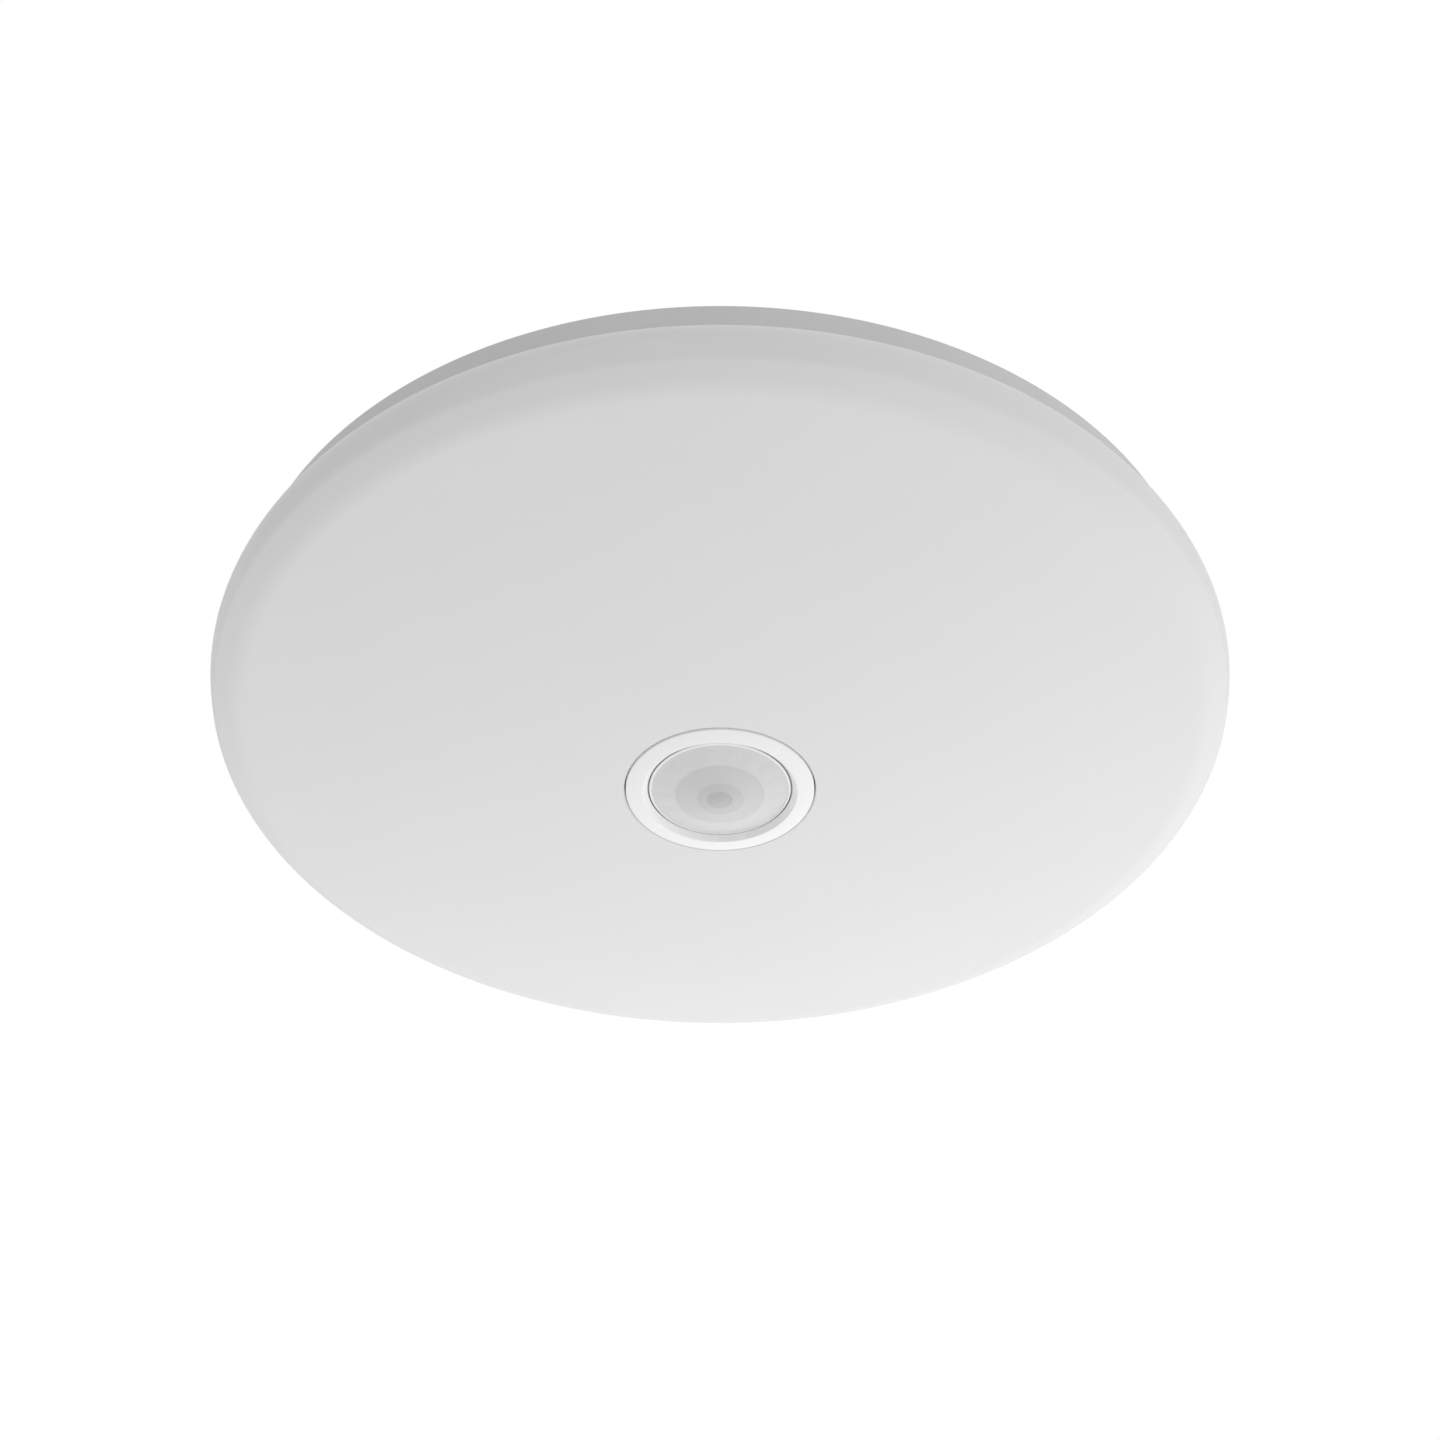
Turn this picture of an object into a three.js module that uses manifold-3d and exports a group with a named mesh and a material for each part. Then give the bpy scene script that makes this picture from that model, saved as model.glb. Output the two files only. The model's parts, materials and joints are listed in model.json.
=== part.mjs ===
// Round ceiling light with a motion sensor in its middle.
// Millimetres, +Z up. The ceiling is the plane z = 0 and the light hangs below it, on the Z axis.
import * as THREE from 'three';
import { mergeVertices } from 'three/addons/utils/BufferGeometryUtils.js';
import Module from 'manifold-3d';

const wasm = await Module();
wasm.setup();

// Steps round a circle, by the size of the piece.
const FINE = 56;
const MEDIUM = 36;
const SMALL = 12;
const TINY = 10;

// Clearance between two pieces that rest on each other.
const GAP = 0.3;

// Diffuser: an arc across its widest line, a drafted wall, a chamfer, then a shallow dome.
// The chamfer's line crosses the outer radius at CHAMFER_DROP below the widest line.
const OUTER_R = 150;
const WIDEST_Z = -20;
const RIM_Z = -13;
const RIM_INNER_R = 145.2;
const SHOULDER_ARC = 11;
const WALL_DRAFT = degrees(10);
const WALL_ROUND = 4;
const CHAMFER_DROP = 5.6;
const CHAMFER = Math.tan(degrees(36));
const CHAMFER_ROUND = 17;
const DOME_JOIN_R = 138.4;
const DOME_DROP = 12.4;
const DOME_SLOPE = 0.286;
const DIFFUSER_WALL = 2;
const HOLE_R = 27.75;
const COLLAR_WALL = 1.8;
const COLLAR_TOP = -45;

// Base plate: a shallow pan with ribs on the ceiling side.
const BACK_R = 142.7;
const FLANGE_R = 146.2;
const FLANGE_TOP = -11.3;
const FLANGE_FACE = RIM_Z + GAP;
const PAN_WALL_R = 143.6;
const PAN_WALL_IN = 141.4;
const PAN_DEPTH = -19;
const POCKET_Z = -2.6;
const FLOOR_Z = -5;
const LAND_R = 44;
const RIM_LAND_IN = 137;
const CLIP_RIB = [128, 134];
const MIDDLE_RIB = [86, 89];
const RADIAL_RIBS = 12;
const RIB_WIDTH = 2;

// Openings in the base.
const KEYHOLE_X = 76;
const KEYHOLE_HEAD_R = 4.6;
const KEYHOLE_SLOT_R = 2.4;
const KEYHOLE_SLOT = 9;
const KEYHOLE_PAD_R = 13;
const ENTRY = [-44, -60];
const ENTRY_R = 11;
const ENTRY_PAD_R = 16;
const CABLE_R = 5.5;

// Screws.
const SHANK_R = 1.5;
const HEAD_R = 2.9;
const HEAD_HEIGHT = 2.2;
const PILOT_R = SHANK_R + GAP;
const PILOT_TOP = -1;

// LED board: a ring on six standoffs.
const BOARD = 1.6;
const LED_RING_R = 113;
const LED_RING_WIDTH = 22;
const STANDOFF_R = 4;
const STANDOFF_Z = -9;
const LED_PLACES = 36;
const LED_SCREWS = 6;
const LED_SIDE = 5;
const LED_HEIGHT = 0.9;
const LED_PLUG_ANGLE = Math.PI / 4;
const LED_PLUG = { x: 4, y: 5, height: 4, pole: 2 };
const LED_BOARD_TOP = STANDOFF_Z - GAP;
const LED_BOARD_FACE = LED_BOARD_TOP - BOARD;

// Sensor: a round pod through the diffuser's hole, with a bay for the setting dials beside it.
const POD_R = 26;
const POD_BORE_R = 24;
const POD_NECK_R = 21.5;
const POD_LEDGE_Z = -27;
const POD_FLANGE = 3;
const BEZEL_R = 27.4;
const BEZEL_INNER_R = 22.4;
const BEZEL_BORE_R = 20.65;
const BEZEL_PROUD = 1;
const BEZEL_FALL = 0.85;
const BEZEL_EDGE = 0.4;
const BEZEL_SKIRT_TOP = -43.3;
const RECESS_DEPTH = 1.65;
const LENS_R = 20.3;
const LENS_RISE = 4.3;
const LENS_CURVE = 1.4;
const LENS_WALL = 1;
const LENS_LIP_R = 23.6;
const POD_SCREW_R = 35;
const POD_SCREW_ANGLES = [60, 180, 300];
const BAY = { x0: 20, inner: 28, x1: 50, y: 15, depth: -20, wall: 1.8 };
const RIBBON_SLOT = 4;
const LEAD_SLOT = 6;
const DIAL_X = 38;
const DIAL_Y = 7;
const DIAL_R = 4.1;

// Driver and terminal block.
const DRIVER = { x: 46, y0: 44, y1: 80, split: -20, bottom: -31, wall: 1.8 };
const DRIVER_BOARD_TOP = -9;
const EAR = { x: 52, y: 61, width: 13, depth: 12, height: 2, pad: 5 };
const VENT = { count: 5, step: 9, width: 2.4, y0: 50, y1: 72 };
const MAINS_SLOT = { x0: -38, x1: -22, bottom: -14.5 };
const SENSOR_SLOT = { x0: -6, x1: 6, bottom: -14 };
const LED_SLOT = { y0: 62.5, y1: 71.5, bottom: -14 };
const COIL = { x0: -7, x1: 9, y0: 47, y1: 75, bottom: -25 };
const CORE = { x0: -10, x1: 12, y0: 51, y1: 71, bottom: -27 };
const CHOKE = { x: -28, y: 64, hole: 2.5, r: 6.5, bottom: -19 };
const CAPACITOR = { x: 29, y: 61, r: 6.5, bottom: -27.5 };
const TERMINAL = { x: 15, y0: -82, y1: -62, bottom: -21 };
const LUG = { thick: 2, apart: 1.4, inset: 6, bottom: -13 };
const POLE_STEP = 9;
const BUTTON_Y = -70;
const BUTTON_SIDE = 5;
const BUTTON_POCKET = -16;
const BUTTON_TOP = BUTTON_POCKET - 1.6;
const BUTTON_CROWN = { inset: 0.6, from: 1, to: 1.8 };
const WIRE_Z = -11;
const WIRE_HOLE = { r: 1.6, depth: 8 };
const SUPPLY_HOLE = { r: 2, depth: 9 };

// Electronics of the sensor.
const DETECTOR = { rim: 4.7, r: 4.1, height: 4.2, flange: 0.6, bevel: 0.5 };
const DETECTOR_WINDOW = { x: 4.2, y: 3.2, height: 0.4 };
const LIGHT_CELL = { x: 13, r: 2.5, height: 2.2 };
const SENSOR_PLUG = { x: 5, y0: 9, y1: 15, height: 6 };
const SETTING_BOARD_TOP = -8;
const TRIMMER_HALF = 4.4;
const TRIMMER_HEIGHT = 5.2;
const DIAL_SLOT = { width: 1.2, inset: 1, depth: 1.2 };
const DIAL_PROUD = 0.9;

// Retaining clips: bent strips that press on the diffuser's rim from inside.
const CLIP_ANGLES = [30, 150, 270];
const CLIP_WIDTH = 12;
const CLIP_STRIP = 0.6;
const CLIP_SCREW_R = 131;
const CLIP_NOSE_R = 144.4;
const NOTCH_TOP = -12.9;
const NOTCH_ROOM = 0.8;

// Leads.
const MAINS_LEAD_R = 1.2;
const THIN_LEAD_R = 0.8;

function paint(colour, roughness, metalness = 0) {
  return new THREE.MeshStandardMaterial({ color: colour, roughness, metalness });
}

const WHITE_PLASTIC = paint(0xe6e6e4, 0.45);
const OPAL = paint(0xf0f0f0, 0.4);
const LENS_PLASTIC = paint(0xd9d9d9, 0.35);
const STEEL = paint(0xb9bcc0, 0.3, 1);
const RUBBER = paint(0xb0b0ae, 0.8);
const BOARD_WHITE = paint(0xf2f2ee, 0.5);
const BOARD_GREEN = paint(0x2c6b45, 0.5);
const BLACK_PLASTIC = paint(0x232325, 0.5);
const ORANGE_PLASTIC = paint(0xd97a2b, 0.4);
const CAN_METAL = paint(0xc6c2b4, 0.25, 1);
const WINDOW = paint(0x2b2624, 0.2);
const BLUE_PLASTIC = paint(0x3f6fae, 0.45);
const GREY_PLASTIC = paint(0x8f9295, 0.5);
const COPPER = paint(0xa9642f, 0.4);
const BROWN_LEAD = paint(0x5b3a26, 0.5);
const BLUE_LEAD = paint(0x2f5fa8, 0.5);
const BLACK_LEAD = paint(0x1c1c1e, 0.5);
const RED_LEAD = paint(0xb02822, 0.5);
const WHITE_LEAD = paint(0xe4e4e0, 0.5);

// Turns a closed geometry into a solid, with its faces pointing out.
function toSolid(geometry) {
  const plain = geometry.clone();
  plain.deleteAttribute('normal');
  plain.deleteAttribute('uv');
  const merged = mergeVertices(plain, 1e-4);
  const at = merged.attributes.position;
  const corners = [];
  let volume = 0;
  const a = new THREE.Vector3();
  const b = new THREE.Vector3();
  const c = new THREE.Vector3();
  for (let i = 0; i < merged.index.count; i += 3) {
    const [p, q, r] = [0, 1, 2].map((k) => merged.index.getX(i + k));
    if (p === q || q === r || r === p) continue;
    a.fromBufferAttribute(at, p);
    b.fromBufferAttribute(at, q);
    c.fromBufferAttribute(at, r);
    volume += a.dot(b.cross(c));
    corners.push([p, q, r]);
  }
  const outward = volume > 0 ? corners : corners.map(([p, q, r]) => [p, r, q]);
  const mesh = new wasm.Mesh({
    numProp: 3,
    vertProperties: new Float32Array(at.array),
    triVerts: new Uint32Array(outward.flat()),
  });
  return new wasm.Manifold(mesh);
}

function toGeometry(solid) {
  const mesh = solid.getMesh();
  const geometry = new THREE.BufferGeometry();
  geometry.setAttribute('position', new THREE.BufferAttribute(mesh.vertProperties, 3));
  geometry.setIndex(new THREE.BufferAttribute(mesh.triVerts, 1));
  geometry.computeVertexNormals();
  return geometry;
}

function join(...parts) {
  let whole = toSolid(parts[0]);
  for (const part of parts.slice(1)) {
    whole = whole.add(toSolid(part));
  }
  return toGeometry(whole);
}

function cut(body, ...tools) {
  let left = toSolid(body);
  for (const tool of tools) {
    left = left.subtract(toSolid(tool));
  }
  return toGeometry(left);
}

// A ring or disc about the Z axis, from [radius, z] corners.
function revolve(corners, steps) {
  const outline = corners.map(([r, z]) => new THREE.Vector2(r, z));
  if (corners[0][0] > 0) {
    outline.push(outline[0].clone());
  }
  const geometry = new THREE.LatheGeometry(outline, steps);
  geometry.rotateX(Math.PI / 2);
  return toGeometry(toSolid(geometry));
}

function drum(x, y, r, low, high, steps = SMALL) {
  const geometry = new THREE.CylinderGeometry(r, r, high - low, steps);
  geometry.rotateX(Math.PI / 2);
  return geometry.translate(x, y, (low + high) / 2);
}

function block(x0, x1, y0, y1, low, high) {
  const geometry = new THREE.BoxGeometry(x1 - x0, y1 - y0, high - low);
  return geometry.translate((x0 + x1) / 2, (y0 + y1) / 2, (low + high) / 2);
}

function hoop(inner, outer, low, high, steps) {
  return revolve([[inner, low], [outer, low], [outer, high], [inner, high]], steps);
}

// A round lead along a smooth curve through the points.
function lead(points, radius, steps) {
  const curve = new THREE.CatmullRomCurve3(points.map((p) => new THREE.Vector3(...p)), false, 'centripetal');
  const section = new THREE.Shape();
  const sides = 8;
  for (let i = 0; i < sides; i++) {
    const angle = (i / sides) * 2 * Math.PI;
    const corner = [radius * Math.cos(angle), radius * Math.sin(angle)];
    if (i === 0) section.moveTo(...corner);
    else section.lineTo(...corner);
  }
  section.closePath();
  const geometry = new THREE.ExtrudeGeometry(section, { steps, extrudePath: curve, bevelEnabled: false });
  return toGeometry(toSolid(geometry));
}

// The curve at a fixed distance to the right of an open [r, z] line.
function offset(line, distance) {
  return line.map(([r, z], i) => {
    const before = line[Math.max(i - 1, 0)];
    const after = line[Math.min(i + 1, line.length - 1)];
    const along = new THREE.Vector2(after[0] - before[0], after[1] - before[1]).normalize();
    return [r + along.y * distance, z - along.x * distance];
  });
}

function polar(radius, angle, z) {
  return [radius * Math.cos(angle), radius * Math.sin(angle), z];
}

function degrees(angle) {
  return THREE.MathUtils.degToRad(angle);
}

// The chamfer runs from the wall to the line on which the dome leaves its edge.
const JOIN_Z = WIDEST_Z - DOME_DROP;
const DOME_CURVE = DOME_SLOPE / (2 * DOME_JOIN_R);
const DOME_LINE_DROP = DOME_DROP - DOME_SLOPE * (OUTER_R - DOME_JOIN_R);
const CHAMFER_RUN = (DOME_LINE_DROP - CHAMFER_DROP) / (CHAMFER - DOME_SLOPE);
const WALL_TOP_DROP = SHOULDER_ARC * Math.sin(WALL_DRAFT);
const WALL_TOP_IN = SHOULDER_ARC * (1 - Math.cos(WALL_DRAFT));
const WALL_LEAN = Math.tan(WALL_DRAFT);
const WALL_END_IN = (WALL_TOP_IN + WALL_LEAN * (CHAMFER_DROP - WALL_TOP_DROP)) / (1 - WALL_LEAN * CHAMFER);

function domeZ(r) {
  return JOIN_Z - DOME_CURVE * (DOME_JOIN_R ** 2 - r ** 2);
}

const BEZEL_FACE = domeZ(BEZEL_R) - BEZEL_PROUD;
const LENS_RIM_Z = BEZEL_FACE + RECESS_DEPTH;
const LENS_LIP_FACE = LENS_RIM_Z + 0.7;
const BEZEL_BACK = LENS_LIP_FACE - GAP;
const POD_END = LENS_LIP_FACE + LENS_WALL + GAP;

// The arc that rounds the corner of an outline.
function rounded(before, corner, after, radius, steps) {
  const here = new THREE.Vector2(...corner);
  const back = new THREE.Vector2(...before).sub(here).normalize();
  const ahead = new THREE.Vector2(...after).sub(here).normalize();
  const half = Math.acos(back.dot(ahead)) / 2;
  const reach = radius / Math.tan(half);
  const centre = back.clone().add(ahead).setLength(radius / Math.sin(half));
  const start = back.multiplyScalar(reach).sub(centre);
  const end = ahead.multiplyScalar(reach).sub(centre);
  const sweep = Math.atan2(start.cross(end), start.dot(end));
  const arc = [];
  for (let i = 0; i <= steps; i++) {
    const turned = start.clone().rotateAround(new THREE.Vector2(), (sweep * i) / steps);
    arc.push([here.x + centre.x + turned.x, here.y + centre.y + turned.y]);
  }
  return arc;
}

function onChamfer(run) {
  return [OUTER_R - run, WIDEST_Z - CHAMFER_DROP - CHAMFER * run];
}

function diffuserOutline() {
  const line = [];
  const rise = Math.asin((RIM_Z - WIDEST_Z) / SHOULDER_ARC);
  const shoulderSteps = 4;
  for (let i = 0; i <= shoulderSteps; i++) {
    const angle = rise - ((rise + WALL_DRAFT) * i) / shoulderSteps;
    line.push([OUTER_R - SHOULDER_ARC * (1 - Math.cos(angle)), WIDEST_Z + SHOULDER_ARC * Math.sin(angle)]);
  }
  const wallEnd = onChamfer(WALL_END_IN);
  const chamferEnd = onChamfer(CHAMFER_RUN);
  const domeEdge = [DOME_JOIN_R, JOIN_Z];
  line.push(...rounded(line.at(-1), wallEnd, chamferEnd, WALL_ROUND, 2));
  line.push(...rounded(wallEnd, chamferEnd, domeEdge, CHAMFER_ROUND, 2));
  line.push(domeEdge);
  const domeSteps = 4;
  for (let i = 1; i <= domeSteps; i++) {
    const r = DOME_JOIN_R + ((HOLE_R - DOME_JOIN_R) * i) / domeSteps;
    line.push([r, domeZ(r)]);
  }
  return line;
}

function diffuser() {
  const outside = diffuserOutline();
  const collarOuter = HOLE_R + COLLAR_WALL;
  const inside = offset(outside, DIFFUSER_WALL).slice(1, -1).reverse();
  const collar = [
    [HOLE_R, COLLAR_TOP],
    [collarOuter, COLLAR_TOP],
    [collarOuter, domeZ(collarOuter) + DIFFUSER_WALL],
  ];
  return revolve([...outside, ...collar, ...inside, [RIM_INNER_R, RIM_Z]], FINE);
}

function keyhole() {
  const head = drum(0, 0, KEYHOLE_HEAD_R, FLOOR_Z - 1, 1);
  const end = drum(KEYHOLE_SLOT, 0, KEYHOLE_SLOT_R, FLOOR_Z - 1, 1);
  const slot = block(0, KEYHOLE_SLOT, -KEYHOLE_SLOT_R, KEYHOLE_SLOT_R, FLOOR_Z - 1, 1);
  return join(head, end, slot);
}

function ledScrewAngle(i) {
  return (i / LED_SCREWS) * 2 * Math.PI;
}

function basePan() {
  return revolve([
    [0, 0],
    [LAND_R, 0],
    [LAND_R, POCKET_Z],
    [RIM_LAND_IN, POCKET_Z],
    [RIM_LAND_IN, 0],
    [BACK_R - 0.8, 0],
    [BACK_R, -0.8],
    [PAN_WALL_R, FLANGE_TOP],
    [FLANGE_R, FLANGE_TOP],
    [FLANGE_R, FLANGE_FACE],
    [PAN_WALL_R, FLANGE_FACE],
    [PAN_WALL_R, PAN_DEPTH],
    [PAN_WALL_IN, PAN_DEPTH],
    [PAN_WALL_IN - 0.4, FLOOR_Z - 1.5],
    [PAN_WALL_IN - 1.9, FLOOR_Z],
    [0, FLOOR_Z],
  ], FINE);
}

function basePlate() {
  const bedded = POCKET_Z - 1;
  const ribs = [
    hoop(...CLIP_RIB, bedded, 0, FINE),
    hoop(...MIDDLE_RIB, bedded, 0, FINE),
    drum(KEYHOLE_X, 0, KEYHOLE_PAD_R, bedded, 0, MEDIUM),
    drum(-KEYHOLE_X, 0, KEYHOLE_PAD_R, bedded, 0, MEDIUM),
    drum(...ENTRY, ENTRY_PAD_R, bedded, 0, MEDIUM),
    drum(EAR.x, EAR.y, EAR.pad, bedded, 0),
    drum(-EAR.x, EAR.y, EAR.pad, bedded, 0),
  ];
  for (let i = 0; i < RADIAL_RIBS; i++) {
    const rib = block(LAND_R - 1, RIM_LAND_IN + 1, -RIB_WIDTH / 2, RIB_WIDTH / 2, bedded, 0);
    ribs.push(rib.rotateZ(((i + 0.5) / RADIAL_RIBS) * 2 * Math.PI));
  }
  const lugs = [-1, 1].map((side) => {
    const half = LUG.thick / 2;
    const [from, to] = [TERMINAL.y0 + LUG.inset, TERMINAL.y1 - LUG.inset];
    const lug = block(-half, half, from, to, LUG.bottom, FLOOR_Z + 1);
    return lug.translate(side * (TERMINAL.x + LUG.apart), 0, 0);
  });
  const standoffs = [];
  const holes = [];
  for (let i = 0; i < LED_SCREWS; i++) {
    const [x, y] = polar(LED_RING_R, ledScrewAngle(i));
    standoffs.push(drum(x, y, STANDOFF_R, STANDOFF_Z, FLOOR_Z + 1));
    holes.push(drum(x, y, PILOT_R, STANDOFF_Z - 1, POCKET_Z - 0.6, TINY));
  }
  for (const angle of POD_SCREW_ANGLES) {
    const [x, y] = polar(POD_SCREW_R, degrees(angle));
    holes.push(drum(x, y, PILOT_R, FLOOR_Z - 1, PILOT_TOP, TINY));
  }
  for (const angle of CLIP_ANGLES) {
    const [x, y] = polar(CLIP_SCREW_R, degrees(angle));
    holes.push(drum(x, y, PILOT_R, FLOOR_Z - 1, PILOT_TOP, TINY));
    const half = CLIP_WIDTH / 2 + NOTCH_ROOM;
    const notch = block(RIM_LAND_IN + 1, OUTER_R, -half, half, PAN_DEPTH - 1, NOTCH_TOP);
    holes.push(notch.rotateZ(degrees(angle)));
  }
  for (const side of [-1, 1]) {
    holes.push(drum(side * EAR.x, EAR.y, PILOT_R, FLOOR_Z - 1, PILOT_TOP));
    holes.push(keyhole().translate(side * KEYHOLE_X, 0, 0));
  }
  holes.push(drum(...ENTRY, ENTRY_R, FLOOR_Z - 1, 1, MEDIUM));
  return cut(join(basePan(), ...ribs, ...lugs, ...standoffs), ...holes);
}

// A rubber ring with a flange below the cable entry and a mouth that opens towards the ceiling.
function cableGrommet() {
  const neck = ENTRY_R - GAP;
  const flange = neck + 2.4;
  const bottom = FLOOR_Z - 3.5;
  const top = -0.4;
  return revolve([
    [CABLE_R, bottom],
    [neck - 1.5, bottom],
    [flange, FLOOR_Z - 2],
    [flange, FLOOR_Z - GAP],
    [neck, FLOOR_Z - GAP],
    [neck, top],
    [CABLE_R + 2.5, top],
    [CABLE_R, -2],
  ], SMALL * 2).translate(...ENTRY, 0);
}

// A pan-head screw that points up, with its bearing face at z = 0.
function screw(length) {
  return revolve([
    [0, -HEAD_HEIGHT],
    [HEAD_R * 0.7, -HEAD_HEIGHT],
    [HEAD_R, -HEAD_HEIGHT * 0.5],
    [HEAD_R, 0],
    [SHANK_R, 0],
    [SHANK_R, length - 1],
    [0, length],
  ], TINY);
}

function terminalBlock() {
  const { x, y0, y1, bottom } = TERMINAL;
  const body = block(-x, x, y0, y1, bottom, FLOOR_Z - GAP);
  const pockets = [];
  const half = BUTTON_SIDE / 2 + GAP;
  for (const pole of [-1, 0, 1]) {
    const centre = pole * POLE_STEP;
    const pocket = block(-half, half, -half, half, bottom - 1, BUTTON_POCKET);
    pockets.push(pocket.translate(centre, BUTTON_Y, 0));
    for (const [{ r, depth }, face, inward] of [[WIRE_HOLE, y1, -1], [SUPPLY_HOLE, y0, 1]]) {
      const hole = new THREE.CylinderGeometry(r, r, depth + 1, SMALL);
      pockets.push(hole.translate(centre, face + (inward * (depth - 1)) / 2, WIRE_Z));
    }
  }
  return cut(body, ...pockets);
}

function terminalButton() {
  const half = BUTTON_SIDE / 2;
  const { bottom } = TERMINAL;
  const { inset, from, to } = BUTTON_CROWN;
  const inner = half - inset;
  const stem = block(-half, half, -half, half, bottom - 1.2, BUTTON_TOP);
  return join(stem, block(-inner, inner, -inner, inner, bottom - to, bottom - from));
}

function driverTray() {
  const { x, y0, y1, split, wall } = DRIVER;
  const top = FLOOR_Z - GAP;
  const ears = [-1, 1].map((side) => {
    const ear = block(-EAR.width / 2, EAR.width / 2, -EAR.depth / 2, EAR.depth / 2, top - EAR.height, top);
    return ear.translate(side * EAR.x, EAR.y, 0);
  });
  const slots = [MAINS_SLOT, SENSOR_SLOT].map(({ x0, x1, bottom }) => {
    return block(x0, x1, y0 - 1, y0 + wall + 1, bottom, DRIVER_BOARD_TOP);
  });
  return cut(
    join(block(-x, x, y0, y1, split, top), ...ears),
    block(-x + wall, x - wall, y0 + wall, y1 - wall, split - 1, top - 2),
    drum(EAR.x, EAR.y, PILOT_R, top - EAR.height - 1, top + 1),
    drum(-EAR.x, EAR.y, PILOT_R, top - EAR.height - 1, top + 1),
    ...slots,
    block(x - wall - 1, x + 1, LED_SLOT.y0, LED_SLOT.y1, LED_SLOT.bottom, DRIVER_BOARD_TOP),
  );
}

function driverCover() {
  const { x, y0, y1, split, bottom, wall } = DRIVER;
  const top = split - GAP;
  const vents = [];
  for (let i = 0; i < VENT.count; i++) {
    const vent = block(-VENT.width / 2, VENT.width / 2, VENT.y0, VENT.y1, bottom - 1, bottom + wall + 1);
    vents.push(vent.translate((i - (VENT.count - 1) / 2) * VENT.step, 0, 0));
  }
  return cut(
    block(-x, x, y0, y1, bottom, top),
    block(-x + wall, x - wall, y0 + wall, y1 - wall, bottom + wall, top + 1),
    ...vents,
  );
}

function driverBoard() {
  const { x, y0, y1, wall } = DRIVER;
  const edge = wall + 0.6;
  return block(-x + edge, x - edge, y0 + edge, y1 - edge, DRIVER_BOARD_TOP - BOARD, DRIVER_BOARD_TOP);
}

const DRIVER_PART_TOP = DRIVER_BOARD_TOP - BOARD - GAP;

function driverTransformer() {
  const coil = block(COIL.x0, COIL.x1, COIL.y0, COIL.y1, COIL.bottom, DRIVER_PART_TOP);
  const core = block(CORE.x0, CORE.x1, CORE.y0, CORE.y1, CORE.bottom, DRIVER_PART_TOP - 2);
  return join(core, coil);
}

function driverChoke() {
  return hoop(CHOKE.hole, CHOKE.r, CHOKE.bottom, DRIVER_PART_TOP, SMALL).translate(CHOKE.x, CHOKE.y, 0);
}

function driverCapacitor() {
  return drum(CAPACITOR.x, CAPACITOR.y, CAPACITOR.r, CAPACITOR.bottom, DRIVER_PART_TOP, SMALL);
}

function ledBoard() {
  const half = LED_RING_WIDTH / 2;
  const ring = hoop(LED_RING_R - half, LED_RING_R + half, LED_BOARD_FACE, LED_BOARD_TOP, FINE);
  const side = LED_SIDE / 2;
  const leds = [];
  for (let i = 0; i < LED_PLACES; i++) {
    if (i % (LED_PLACES / LED_SCREWS) === 0) continue;
    const led = block(-side, side, -side, side, LED_BOARD_FACE - LED_HEIGHT, LED_BOARD_FACE + 0.4);
    leds.push(led.translate(LED_RING_R, 0, 0).rotateZ((i / LED_PLACES) * 2 * Math.PI));
  }
  const holes = [];
  for (let i = 0; i < LED_SCREWS; i++) {
    const [x, y] = polar(LED_RING_R, ledScrewAngle(i));
    holes.push(drum(x, y, PILOT_R, LED_BOARD_FACE - 1, LED_BOARD_TOP + 1, TINY));
  }
  return cut(join(ring, ...leds), ...holes);
}

function ledConnector() {
  const face = LED_BOARD_FACE - GAP;
  const body = block(-LED_PLUG.x, LED_PLUG.x, -LED_PLUG.y, LED_PLUG.y, face - LED_PLUG.height, face);
  const mouths = [-1, 1].map((side) => {
    const mouth = block(-LED_PLUG.x - 1, -1, -1.2, 1.2, face - 3.2, face - 0.8);
    return mouth.translate(0, side * LED_PLUG.pole, 0);
  });
  return cut(body, ...mouths).translate(LED_RING_R, 0, 0).rotateZ(LED_PLUG_ANGLE);
}

function sensorHousing() {
  const top = FLOOR_Z - GAP;
  const shell = revolve([
    [POD_R, POD_END],
    [POD_R, top - POD_FLANGE],
    [LAND_R - 1, top - POD_FLANGE],
    [LAND_R - 1, top],
    [POD_NECK_R, top],
    [POD_NECK_R, POD_LEDGE_Z],
    [POD_BORE_R, POD_LEDGE_Z],
    [POD_BORE_R, POD_END],
  ], MEDIUM);
  const bay = block(BAY.x0, BAY.x1, -BAY.y, BAY.y, BAY.depth, top);
  const room = BAY.y - BAY.wall;
  const tools = [
    drum(0, 0, POD_NECK_R, POD_LEDGE_Z, top + 1, MEDIUM),
    block(BAY.inner, BAY.x1 - BAY.wall, -room, room, BAY.depth + BAY.wall, top + 1),
    block(BAY.x0 - 2, BAY.inner + 1, -RIBBON_SLOT, RIBBON_SLOT, top - 3, top + 1),
    drum(DIAL_X, DIAL_Y, DIAL_R + GAP, BAY.depth - 1, BAY.depth + 3),
    drum(DIAL_X, -DIAL_Y, DIAL_R + GAP, BAY.depth - 1, BAY.depth + 3),
    block(-LEAD_SLOT, LEAD_SLOT, POD_NECK_R - 4, LAND_R + 1, top - POD_FLANGE - 1, top + 1),
  ];
  for (const angle of POD_SCREW_ANGLES) {
    const [x, y] = polar(POD_SCREW_R, degrees(angle));
    tools.push(drum(x, y, PILOT_R, top - POD_FLANGE - 1, top + 1));
  }
  return cut(join(shell, bay), ...tools);
}

function sensorBoard() {
  return drum(0, 0, POD_BORE_R - 0.4, POD_LEDGE_Z - GAP - BOARD, POD_LEDGE_Z - GAP, MEDIUM);
}

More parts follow.
